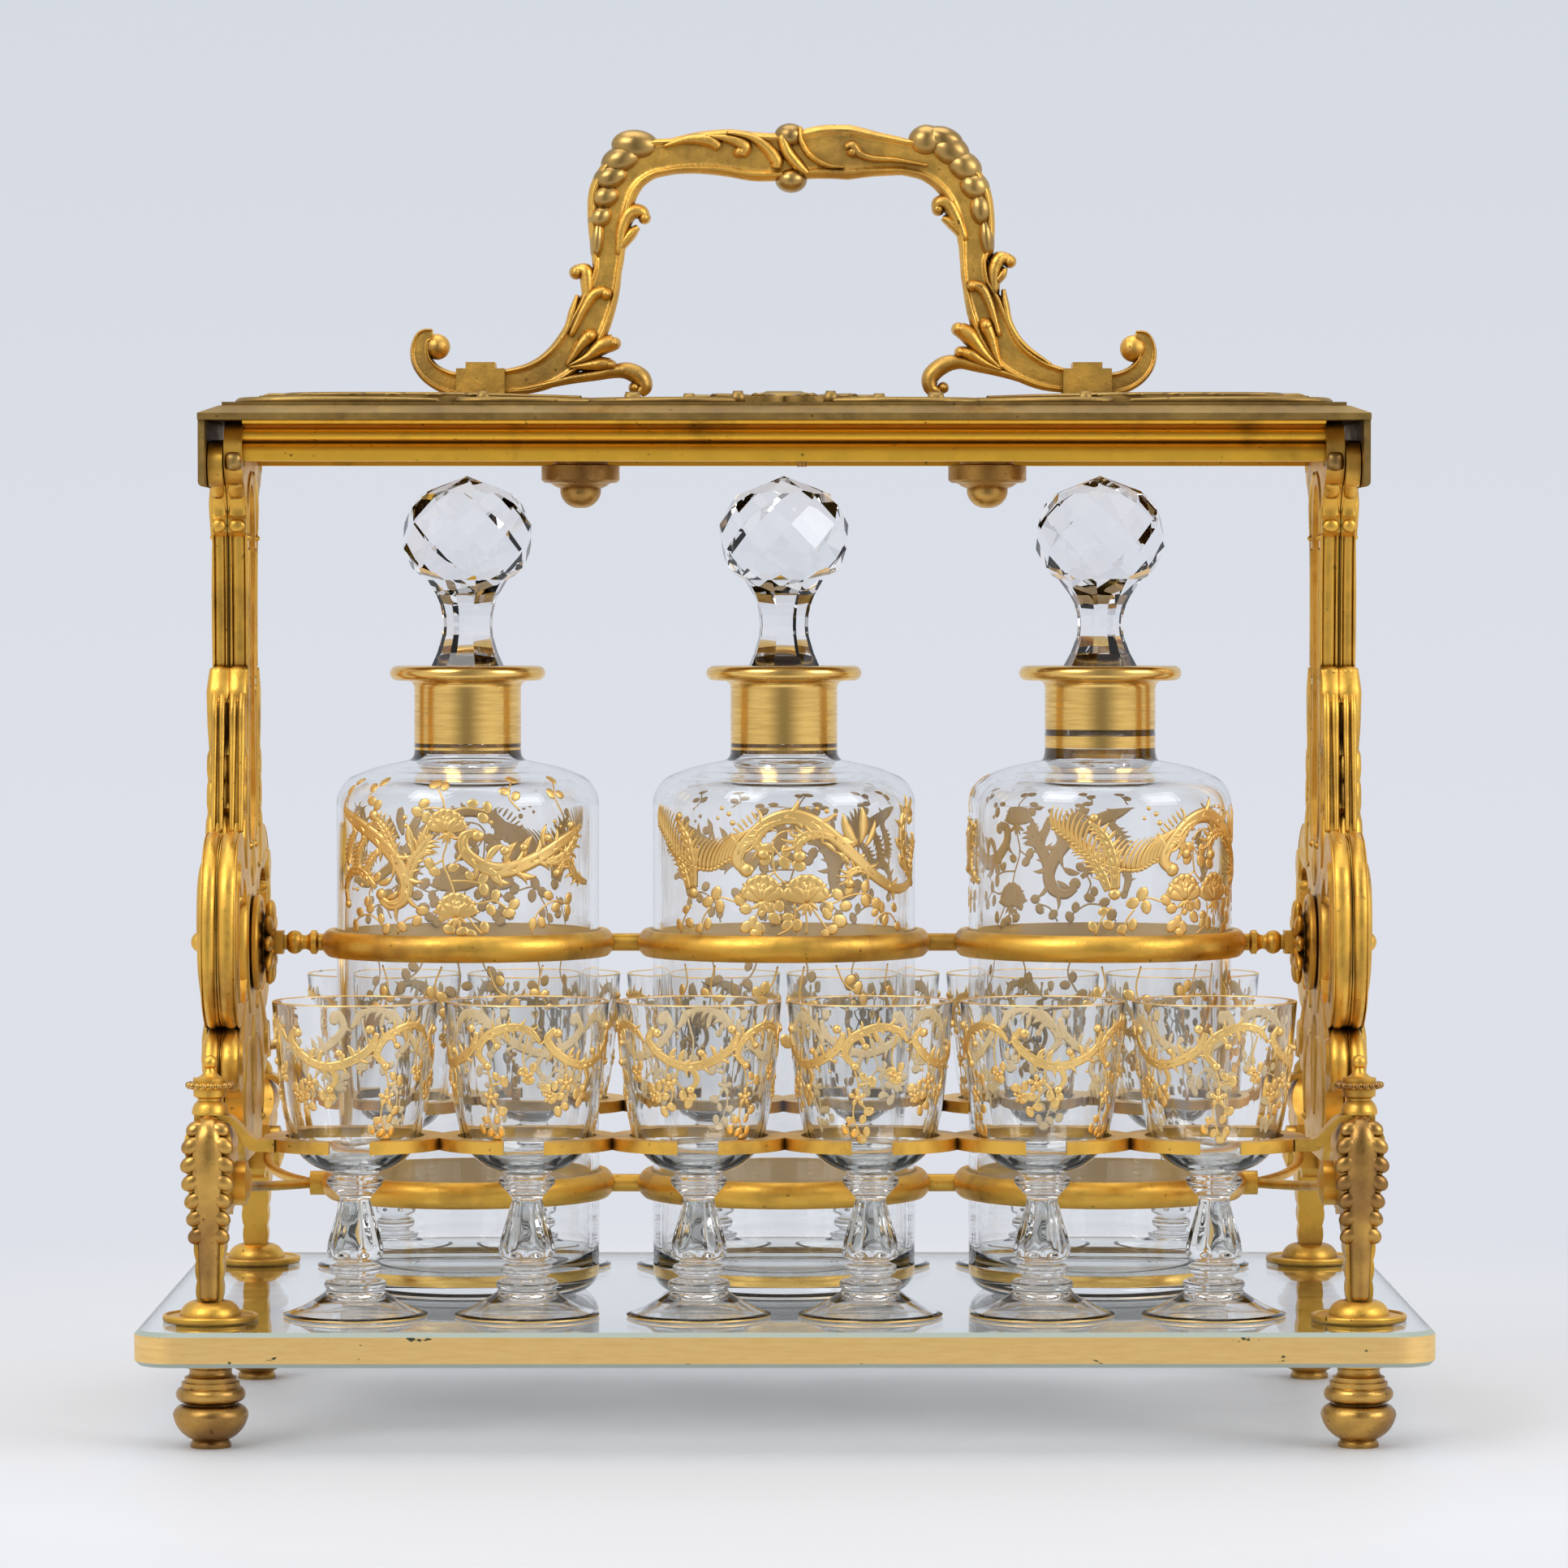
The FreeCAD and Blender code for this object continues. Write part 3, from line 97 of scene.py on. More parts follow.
def ramp(tree, source, low, high, start=0.0, end=1.0):
    node = addNode(tree, "ShaderNodeMapRange", clamp=True)
    node.inputs["From Min"].default_value = low
    node.inputs["From Max"].default_value = high
    node.inputs["To Min"].default_value = start
    node.inputs["To Max"].default_value = end
    link(tree, source, node.inputs["Value"])
    return node.outputs["Result"]


def mixColours(tree, share, first, second):
    node = addNode(tree, "ShaderNodeMix", data_type="RGBA")
    link(tree, share, node.inputs["Factor"])
    for socket, value in ((node.inputs[6], first), (node.inputs[7], second)):
        if isinstance(value, tuple):
            socket.default_value = (*value, 1.0)
        else:
            link(tree, value, socket)
    return node.outputs[2]


def times(tree, first, second, operation="MULTIPLY"):
    node = addNode(tree, "ShaderNodeMath", operation=operation)
    for index, value in enumerate((first, second)):
        if isinstance(value, (int, float)):
            node.inputs[index].default_value = value
        else:
            link(tree, value, node.inputs[index])
    return node.outputs[0]


# finishes
# the three keys after "speckShare" set the painted shade in hollows, which the occlusion looks for within
# "hollow" millimetres
castGilt = {"bright": (0.84, 0.49, 0.085), "brown": (0.42, 0.225, 0.05), "black": (0.07, 0.04, 0.014),
            "patch": 45.0, "brownFrom": 0.50, "brownTo": 0.72, "speck": 420.0, "speckFrom": 0.66,
            "speckWidth": 0.08, "speckShare": 0.75, "shadeFrom": 0.25, "shadeTo": 0.85, "shadeShare": 0.7,
            "roughLow": 0.33, "roughHigh": 0.52, "roughPatch": 5, "grain": 1300.0, "grainDepth": 0.30,
            "grainHeight": 0.2, "hollow": 3.0}
handleGilt = {**castGilt, "bright": (0.84, 0.49, 0.10), "brown": (0.46, 0.27, 0.075),
              "brownFrom": 0.44, "grain": 850.0, "grainDepth": 0.8}
lidGilt = {**castGilt, "bright": (0.40, 0.26, 0.08), "brown": (0.28, 0.17, 0.055), "brownFrom": 0.40,
           "roughLow": 0.36, "roughHigh": 0.54}
railGilt = {**castGilt, "bright": (1.0, 0.58, 0.065), "brown": (0.66, 0.37, 0.05), "brownFrom": 0.58,
            "roughLow": 0.42, "roughHigh": 0.52, "grainDepth": 0.08, "hollow": 1.0}
wornGilt = {**castGilt, "bright": (0.68, 0.40, 0.10), "brown": (0.32, 0.17, 0.055), "brownFrom": 0.36,
            "brownTo": 0.60, "roughLow": 0.26, "roughHigh": 0.44}
rubbedGilt = {**castGilt, "bright": (0.56, 0.36, 0.115), "brown": (0.33, 0.205, 0.07), "brownFrom": 0.36,
              "brownTo": 0.62, "roughLow": 0.26, "roughHigh": 0.42, "grainDepth": 0.10}


# metal with bright and brown patches and dark specks, and painted shade: an ambient occlusion node darkens
# its hollows towards "black"
def gilded(name, look):
    material, tree, shader = newMaterial(name)
    patches = ramp(tree, noiseOf(tree, look["patch"], 6.0), look["brownFrom"], look["brownTo"])
    specks = ramp(tree, noiseOf(tree, look["speck"], 4.0), look["speckFrom"],
                  look["speckFrom"] + look["speckWidth"])
    # painted shade: occlusion within "hollow" millimetres darkens creases and recesses towards "black"
    hollow = addNode(tree, "ShaderNodeAmbientOcclusion", samples=6, Distance=look["hollow"] * mm)
    hollowShade = ramp(tree, hollow.outputs["AO"], look["shadeFrom"], look["shadeTo"], 1.0, 0.0)
    metal = mixColours(tree, patches, look["bright"], look["brown"])
    marked = mixColours(tree, times(tree, specks, look["speckShare"]), metal, look["black"])
    shaded = mixColours(tree, times(tree, hollowShade, look["shadeShare"]), marked, look["black"])
    link(tree, shaded, shader.inputs["Base Color"])
    shader.inputs["Metallic"].default_value = 1.0
    rough = ramp(tree, noiseOf(tree, look["patch"] * look["roughPatch"], 5.0), 0.35, 0.70,
                 look["roughLow"], look["roughHigh"])
    link(tree, rough, shader.inputs["Roughness"])
    bump = addNode(tree, "ShaderNodeBump", Strength=look["grainDepth"],
                   Distance=look["grainHeight"] * mm)
    link(tree, noiseOf(tree, look["grain"], 4.0), bump.inputs["Height"])
    link(tree, bump.outputs["Normal"], shader.inputs["Normal"])
    return material


# gold laid on the glass: "lines" squeezes its brush marks into rings, and above "chipsFrom" it is chipped off
neckGold = {"bright": (0.94, 0.62, 0.19), "deep": (0.72, 0.45, 0.13), "rough": 0.16, "roughRise": 0.14,
            "streaks": 90.0, "lines": 14.0, "chips": 150.0, "chipsFrom": 1.0, "chipWidth": 0.03,
            "chip": (0.075, 0.085, 0.05)}
raisedGold = {**neckGold, "bright": (0.95, 0.67, 0.26), "deep": (0.84, 0.55, 0.19), "rough": 0.38,
              "lines": 1.0}
plateGold = {**neckGold, "bright": (0.97, 0.67, 0.27), "deep": (0.86, 0.56, 0.20), "rough": 0.34,
             "lines": 9.0, "chipsFrom": 0.70}


def goldLeaf(name, look):
    material, tree, shader = newMaterial(name)
    streaks = noiseOf(tree, look["streaks"], 5.0, (1.0, 1.0, look["lines"]))
    colour = mixColours(tree, ramp(tree, streaks, 0.35, 0.70), look["bright"], look["deep"])
    chips = ramp(tree, noiseOf(tree, look["chips"], 4.0, (1.0, 1.0, 2.0)), look["chipsFrom"],
                 look["chipsFrom"] + look["chipWidth"])
    colour = mixColours(tree, chips, colour, look["chip"])
    link(tree, colour, shader.inputs["Base Color"])
    rough = ramp(tree, streaks, 0.3, 0.7, look["rough"], look["rough"] + look["roughRise"])
    link(tree, rough, shader.inputs["Roughness"])
    shader.inputs["Metallic"].default_value = 1.0
    return material


# the matt underside of the gold, seen through the glass; the first one is also put on the rings' inner walls
# as painted light
def goldBackAndRingLight(name, colour):
    material, tree, shader = newMaterial(name)
    shader.inputs["Base Color"].default_value = (*colour, 1.0)
    shader.inputs["Roughness"].default_value = 0.6
    shader.inputs["Metallic"].default_value = 0.25
    return material


# the plate's bevels: a pale green-grey, partly clear and a little rough; the pale is painted light in place
# of what the clear bevels pass and reflect, and the green is the glass's own tint
def bevelLight(name, colour):
    material, tree, shader = newMaterial(name)
    shader.inputs["Base Color"].default_value = (*colour, 1.0)
    shader.inputs["Roughness"].default_value = 0.35
    shader.inputs["Transmission Weight"].default_value = 0.35
    return material


# clear glass that lets the lamps through, a little dimmed, to what stands behind it
def clearGlass(name, tint, ior):
    material, tree, shader = newMaterial(name)
    shader.inputs["Base Color"].default_value = (*tint, 1.0)
    shader.inputs["Roughness"].default_value = 0.0
    shader.inputs["IOR"].default_value = ior
    shader.inputs["Transmission Weight"].default_value = 1.0
    rays = addNode(tree, "ShaderNodeLightPath")
    clear = addNode(tree, "ShaderNodeBsdfTransparent", Color=(0.97, 0.97, 0.97, 1.0))
    both = addNode(tree, "ShaderNodeMixShader")
    link(tree, rays.outputs["Is Shadow Ray"], both.inputs["Fac"])
    link(tree, shader.outputs[0], both.inputs[1])
    link(tree, clear.outputs[0], both.inputs[2])
    link(tree, both.outputs[0], tree.nodes["Material Output"].inputs["Surface"])
    return material


finishes = {
    "cast": gilded("cast gilt bronze", castGilt),
    "handle": gilded("handle gilt bronze", handleGilt),
    "lid": gilded("dull gilt lid", lidGilt),
    "rail": gilded("bright gilt rail", railGilt),
    "worn": gilded("worn gilt", wornGilt),
    "rubbed": gilded("rubbed bronze", rubbedGilt),
    "goldBackAndRingLight": goldBackAndRingLight("gold seen from behind", (0.70, 0.47, 0.20)),
    "paleBack": goldBackAndRingLight("thin gold seen from behind", (0.80, 0.62, 0.34)),
    "bevelLight": bevelLight("plate bevel with painted light", (0.50, 0.58, 0.50)),
    "neckGold": goldLeaf("burnished gold", neckGold),
    "enamel": goldLeaf("raised gold", raisedGold),
    "edgeGold": goldLeaf("gilded plate edge", plateGold),
    "decanter": clearGlass("decanter glass", (0.985, 0.99, 0.99), 1.50),
    "stopper": clearGlass("cut lead glass", (0.99, 0.99, 1.0), 1.56),
    "glass": clearGlass("blown glass", (0.985, 0.99, 0.99), 1.50),
    "plate": clearGlass("plate glass", (0.95, 0.98, 0.97), 1.52),
}
print("finishes made")


# floor, backdrop and lamps
# "skyRise", "roomSide" and "roomFront" are where, along the ray's z, x and y, each blend starts and ends
studio = {"floorSize": 6.0, "floorColour": (0.68, 0.69, 0.72), "floorRough": 0.55, "fadeNear": 0.30,
          "fadeFar": 0.60, "skyLow": (0.728, 0.750, 0.812), "skyHigh": (0.672, 0.703, 0.772), "fill": 0.74,
          "roomDark": (0.26, 0.26, 0.27), "roomPale": (0.78, 0.78, 0.79), "skyRise": (-0.04, 0.10),
          "roomSide": (0.12, 0.62), "roomFront": (0.10, -0.55), "lampAim": (0, 0, 0.2)}
lamps = (
    {"name": "key", "place": (-0.9, -1.0, 1.35), "size": 0.9, "power": 11.0},
    {"name": "side", "place": (1.2, -0.7, 0.9), "size": 0.8, "power": 7.0},
    {"name": "top", "place": (0.0, 0.1, 1.7), "size": 1.2, "power": 9.0},
)


def seenRays(tree):
    rays = addNode(tree, "ShaderNodeLightPath")
    either = times(tree, rays.outputs["Is Camera Ray"], rays.outputs["Is Glossy Ray"], "MAXIMUM")
    return times(tree, either, rays.outputs["Is Transmission Ray"], "MAXIMUM")


# the sky is a pale backdrop behind the object, darker on the room's side
def makeWorld(look):
    world = bpy.data.worlds.new("studio")
    bpy.context.scene.world = world
    world.use_nodes = True
    tree = world.node_tree
    tree.nodes.clear()
    place = addNode(tree, "ShaderNodeTexCoord")
    split = addNode(tree, "ShaderNodeSeparateXYZ")
    link(tree, place.outputs["Generated"], split.inputs[0])
    sky = mixColours(tree, ramp(tree, split.outputs["Z"], *look["skyRise"]), look["skyLow"], look["skyHigh"])
    aside = addNode(tree, "ShaderNodeMath", operation="ABSOLUTE")
    link(tree, split.outputs["X"], aside.inputs[0])
    room = mixColours(tree, ramp(tree, aside.outputs[0], *look["roomSide"]), look["roomDark"],
                      look["roomPale"])
    shown = mixColours(tree, ramp(tree, split.outputs["Y"], *look["roomFront"]), sky, room)
    seen = addNode(tree, "ShaderNodeBackground", Strength=1.0)
    link(tree, shown, seen.inputs["Color"])
    fill = addNode(tree, "ShaderNodeBackground", Strength=look["fill"], Color=(1.0, 1.0, 1.0, 1.0))
    both = addNode(tree, "ShaderNodeMixShader")
    link(tree, seenRays(tree), both.inputs["Fac"])
    link(tree, fill.outputs[0], both.inputs[1])
    link(tree, seen.outputs[0], both.inputs[2])
    out = addNode(tree, "ShaderNodeOutputWorld")
    link(tree, both.outputs[0], out.inputs["Surface"])


# a matt floor that fades into the backdrop some way behind the object
def makeFloor(look):
    half = look["floorSize"] / 2
    mesh = bpy.data.meshes.new("floor")
    mesh.from_pydata([(-half, -half, 0), (half, -half, 0), (half, half, 0), (-half, half, 0)], [],
                     [(0, 1, 2, 3)])
    floor = bpy.data.objects.new("floor", mesh)
    bpy.context.scene.collection.objects.link(floor)
    material, tree, shader = newMaterial("studio floor")
    shader.inputs["Base Color"].default_value = (*look["floorColour"], 1.0)
    shader.inputs["Roughness"].default_value = look["floorRough"]
    place = addNode(tree, "ShaderNodeTexCoord")
    length = addNode(tree, "ShaderNodeVectorMath", operation="LENGTH")
    link(tree, place.outputs["Object"], length.inputs[0])
    fade = ramp(tree, length.outputs["Value"], look["fadeNear"], look["fadeFar"])
    clear = addNode(tree, "ShaderNodeBsdfTransparent")
    both = addNode(tree, "ShaderNodeMixShader")
    link(tree, fade, both.inputs["Fac"])
    link(tree, shader.outputs[0], both.inputs[1])
    link(tree, clear.outputs[0], both.inputs[2])
    link(tree, both.outputs[0], tree.nodes["Material Output"].inputs["Surface"])
    mesh.materials.append(material)


def makeLamps(specs):
    target = Vector(studio["lampAim"])
    for spec in specs:
        data = bpy.data.lights.new(spec["name"], "AREA")
        data.shape = "SQUARE"
        data.size = spec["size"]
        data.energy = spec["power"]
        lamp = bpy.data.objects.new(spec["name"], data)
        lamp.location = spec["place"]
        lamp.rotation_euler = (target - lamp.location).to_track_quat("-Z", "Y").to_euler()
        bpy.context.scene.collection.objects.link(lamp)


makeWorld(studio)
makeFloor(studio)
makeLamps(lamps)
print("studio set")


# surfaces
# Catmull-Rom curve through the rows of a table, read at evenly spaced places, as one array
def curveThrough(points, count):
    table = np.asarray(points, float)
    padded = np.vstack([2 * table[0] - table[1], table, 2 * table[-1] - table[-2]])
    spans = len(table) - 1
    place = np.linspace(0, spans, count)
    index = np.minimum(place.astype(int), spans - 1)
    t = (place - index)[:, None]
    p0, p1, p2, p3 = (padded[index + k] for k in range(4))
    return 0.5 * (2 * p1 + (p2 - p0) * t + (2 * p0 - 5 * p1 + 4 * p2 - p3) * t ** 2
                  + (3 * p1 - p0 - 3 * p2 + p3) * t ** 3)


# faces between the rows of one grid; rows are closed rings, and end rings are capped with quads
def gridFaces(rows, columns, first, capped=True):
    r, c = np.meshgrid(np.arange(rows - 1), np.arange(columns), indexing="ij")
    a = r * columns + c
    b = r * columns + (c + 1) % columns
    faces = [np.stack([a, b, b + columns, a + columns], -1).reshape(-1, 4)]
    if capped:
        k = np.arange(columns // 2 - 1)
        cap = np.stack([k, k + 1, columns - 2 - k, columns - 1 - k], -1)
        faces += [cap[:, ::-1], cap + (rows - 1) * columns]
    return np.vstack(faces) + first


# one mesh object from a list of grids of ringed rows, each (rows, columns, 3) in metres
def meshFromGrids(name, grids, material, body, capped=True):
    points, faces, first = [], [], 0
    for grid in grids:
        rows, columns = grid.shape[:2]
        points.append(grid.reshape(-1, 3))
        faces.append(gridFaces(rows, columns, first, capped))
        first += rows * columns
    return meshFrom(name, np.vstack(points), np.vstack(faces), material, body)


# doubles at poles are merged, and a closed mesh that measures a negative volume is turned outwards
def meshFrom(name, points, faces, material, body):
    mesh = bpy.data.meshes.new(name)
    mesh.vertices.add(len(points))
    mesh.vertices.foreach_set("co", points.astype(np.float32).ravel())
    mesh.loops.add(faces.size)
    mesh.loops.foreach_set("vertex_index", faces.astype(np.int32).ravel())
    mesh.polygons.add(len(faces))
    mesh.polygons.foreach_set("loop_start", np.arange(len(faces), dtype=np.int32) * faces.shape[1])
    mesh.polygons.foreach_set("use_smooth", np.ones(len(faces), bool))
    mesh.update(calc_edges=True)
    tidy = bmesh.new()
    tidy.from_mesh(mesh)
    bmesh.ops.remove_doubles(tidy, verts=tidy.verts, dist=1e-7)
    bmesh.ops.recalc_face_normals(tidy, faces=tidy.faces)
    if tidy.calc_volume(signed=True) < 0:
        bmesh.ops.reverse_faces(tidy, faces=tidy.faces)
    tidy.to_mesh(mesh)
    tidy.free()
    mesh.materials.append(material)
    piece = bpy.data.objects.new(name, mesh)
    bpy.context.scene.collection.objects.link(piece)
    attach(piece, body)
    return piece


# a second finish on the faces whose middle passes the test, which reads x, y and z in millimetres
def paint(piece, material, test):
    mesh = piece.data
    middle = np.empty(len(mesh.polygons) * 3)
    normal = np.empty(len(mesh.polygons) * 3)
    mesh.polygons.foreach_get("center", middle)
    mesh.polygons.foreach_get("normal", normal)
    index = np.empty(len(mesh.polygons), np.int32)
    mesh.polygons.foreach_get("material_index", index)
    chosen = test(middle.reshape(-1, 3).T / mm, normal.reshape(-1, 3).T)
    mesh.materials.append(material)
    index[chosen] = len(mesh.materials) - 1
    mesh.polygons.foreach_set("material_index", index)
    mesh.update()


# a surface of revolution: each row of radius and height goes once round the axis at (x, y)
def turnedGrid(profile, segments, x, y, ripple=None):
    angle = np.linspace(0, 2 * np.pi, segments, endpoint=False)
    radius = profile[:, :1] * np.ones(segments)
    if ripple is not None:
        radius = radius * (1 + ripple(profile[:, 1:], angle))
    height = profile[:, 1:] * np.ones(segments)
    return np.stack([x + radius * np.sin(angle), y - radius * np.cos(angle), height], -1) * mm


# quarter and other arcs for profiles: points round a centre from one angle to another, in degrees
def arc(centre, radius, start, end, count):
    turn = np.radians(np.linspace(start, end, count))
    return np.stack([centre[0] + radius * np.cos(turn), centre[1] + radius * np.sin(turn)], -1)


def joined(*parts):
    return np.vstack([np.atleast_2d(part) for part in parts])


# raised ornament
# A raised line follows a curve in (u, v). Across it the surface rises as lift times the root of
# 1 - across squared, less a groove along the middle, over a flat underside sunk into the ground.
ribTurns = np.radians((0, 30, 62, 90, 118, 150, 180))
rib = {"sink": 0.06, "step": 0.9, "across": np.cos(ribTurns), "rise": np.sin(ribTurns), "grooveWidth": 0.30,
       "under": (-0.5, 0.0, 0.5), "fullWidth": 0.6, "endFall": 0.7}


def stroke(points, widths, lift, groove=0.0):
    return {"points": points, "widths": widths, "lift": lift, "groove": groove}


# a flat oval: a line as long as the oval, as wide at each place as the circle it is stretched from
def blob(u, v, radius, lift, long=1.0, heading=0.0):
    along = np.cos(np.radians(np.linspace(172, 8, 7)))
    turn = math.radians(heading)
    line = [(u + radius * long * t * math.cos(turn), v + radius * long * t * math.sin(turn)) for t in along]
    return stroke(line, radius * np.sqrt(1 - along ** 2), lift)


# a leaf that starts narrow, swells and ends in a point, bent sideways by a share of its length
def leaf(u, v, length, width, heading, lift, bend=0.15):
    turn = math.radians(heading)
    ahead = np.array((math.cos(turn), math.sin(turn))) * length
    aside = np.array((-math.sin(turn), math.cos(turn))) * length * bend
    rows = [np.array((u, v)) + ahead * t + aside * 4 * t * (1 - t) for t in (0.0, 0.25, 0.5, 0.75, 1.0)]
    return stroke(rows, (width * 0.3, width * 0.8, width, width * 0.7, width * 0.08), lift)


# the closed ring of surface points round each place of a raised line
def strokeGrid(line, ground):
    controls = np.asarray(line["points"], float)
    length = np.linalg.norm(np.diff(controls, axis=0), axis=1).sum()
    count = max(5, int(length / rib["step"]))
    path = curveThrough(controls, count)
    place = np.linspace(0, 1, len(line["widths"]))
    width = np.interp(np.linspace(0, 1, count), place, line["widths"])[:, None]
    ahead = np.gradient(path, axis=0)
    ahead /= np.maximum(np.linalg.norm(ahead, axis=1), 1e-9)[:, None]
    aside = np.stack([-ahead[:, 1], ahead[:, 0]], -1)
    across = np.concatenate([rib["across"], rib["under"]])
    dip = line["groove"] * np.exp(-(rib["across"] / rib["grooveWidth"]) ** 2)
    full = np.minimum(1.0, width / (rib["fullWidth"] * width.max())) ** rib["endFall"]
    rise = line["lift"] * (rib["rise"] - dip) * full
    height = np.hstack([rise, np.full((count, len(rib["under"])), -rib["sink"])])
    height[:, (0, len(ribTurns) - 1)] = -rib["sink"] / 2
    u = path[:, :1] + aside[:, :1] * width * across
    v = path[:, 1:] + aside[:, 1:] * width * across
    return ground(u, v, height) * mm


def strokeGrids(lines, ground):
    return [strokeGrid(line, ground) for line in lines]


# ground on a wall turned about an upright axis: u is the way round at the radius named girth, v is the
# way up the profile, and height goes out along the wall's own normal
def wallGround(profile, ways, x, y, girth, turn, ripple=None):
    table = np.asarray(profile, float)
    slope = np.gradient(table, axis=0)
    slope /= np.linalg.norm(slope, axis=1)[:, None]

    def place(u, v, height):
        radius, level, outR, outZ = (np.interp(v, ways, column)
                                     for column in (table[:, 0], table[:, 1], slope[:, 1], -slope[:, 0]))
        angle = u / girth + math.radians(turn)
        if ripple is not None:
            radius = radius * (1 + ripple(level, angle))
        reach = radius + height * outR
        return np.stack([x + reach * np.sin(angle), y - reach * np.cos(angle), level + height * outZ], -1)
    return place


# ground on a flat face: u and v run along two axes from a point, and height goes along the third
def flatGround(origin, alongU, alongV, out):
    start, axisU, axisV, axisOut = (np.asarray(item, float) for item in (origin, alongU, alongV, out))

    def place(u, v, height):
        return start + u[..., None] * axisU + v[..., None] * axisV + height[..., None] * axisOut
    return place


# decanters
# radii and heights: "slope" is the outside from the shoulder to the neck, and "bore" the inside there; the
# gilding is a line between the first two heights of "neckGold", then gold from the third up, and a heel band
decanter = {"bottom": 37.3, "wall": 40.35, "heel": 7.0, "wallTop": 187.6, "shoulder": 9.5, "shoulderTurn": 65,
            "slope": ((28.6, 198.6), (21.5, 200.2), (18.0, 201.0)), "neckFoot": 202.4, "neckTop": 225.4,
            "lipTop": 229.9, "mouth": ((11.6, 229.9), (10.5, 213.0)), "innerWall": 37.55, "innerTop": 187.0,
            "innerShoulder": 7.8, "bore": ((33.4, 193.9), (27.6, 196.2), (20.6, 197.9), (16.0, 199.4),
                                           (13.8, 202.0), (12.4, 206.0), (11.0, 210.6)),
            "floor": 43.8, "segments": 128, "neckGold": (204.1, 204.9, 206.1), "bandLow": 42.5,
            "bandHigh": 45.8}
decanters = {
    "left": {"x": -97.3, "neck": 16.4, "lip": 23.9, "turn": 180.0},
    "middle": {"x": 0.0, "neck": 16.4, "lip": 23.9, "turn": 0.0},
    "right": {"x": 97.3, "neck": 17.0, "lip": 25.0, "turn": 46.0, "neckGold": (204.7, 208.4, 210.4)},
}


# an upright wall: a column of rows at one radius
def upright(radius, low, high, count):
    return np.stack([np.full(count, radius), np.linspace(low, high, count)], -1)


# the outside from the middle of the base up to the middle of the lip's top
def decanterOutside(spec):
    d = decanter
    wall, heel, shoulder = d["wall"], d["heel"], d["shoulder"]
    turn = math.radians(d["shoulderTurn"])
    bend = (wall - shoulder * (1 - math.cos(turn)), d["wallTop"] + shoulder * math.sin(turn))
    slope = curveThrough([bend, *d["slope"], (spec["neck"] + 0.25, d["neckFoot"]),
                          (spec["neck"], d["neckFoot"] + 2)], 20)
    half = (d["lipTop"] - d["neckTop"]) / 2
    flare = curveThrough([(spec["neck"], d["neckTop"] - 2.2), (spec["neck"] + 0.6, d["neckTop"] - 0.7),
                          (spec["neck"] + 2.4, d["neckTop"] + 0.1), (spec["lip"] - half, d["neckTop"])], 8)
    return joined((0.0, d["bottom"] + 0.9), (wall - heel - 9, d["bottom"] + 0.5),
                  (wall - heel - 5, d["bottom"]), arc((wall - heel, d["bottom"] + heel), heel, -90, -16, 8),
                  (wall - 0.17, d["bandLow"]), (wall - 0.01, d["bandHigh"]),
                  upright(wall, d["bottom"] + heel + 4, d["wallTop"] - 4, 12),
                  arc((wall - shoulder, d["wallTop"]), shoulder, 0, d["shoulderTurn"] - 3, 10), slope[:-1],
                  [(spec["neck"], level) for level in (*spec.get("neckGold", d["neckGold"]), 214.0)],
                  flare, arc((spec["lip"] - half, d["neckTop"] + half), half, -80, 80, 10))


# the inside from the mouth down to the middle of the floor
def decanterInside():
    d = decanter
    wall, heel, shoulder = d["innerWall"], d["heel"], d["innerShoulder"]
    return joined(*d["mouth"], curveThrough(d["bore"], 18)[::-1],
                  arc((wall - shoulder, d["innerTop"]), shoulder, 58, 0, 8),
                  upright(wall, d["innerTop"] - 5, d["floor"] + heel + 2, 8),
                  arc((wall - heel, d["floor"] + heel), heel, 0, -90, 8),
                  (wall - heel - 8, d["floor"] + 0.4), (0.0, d["floor"] + 0.9))


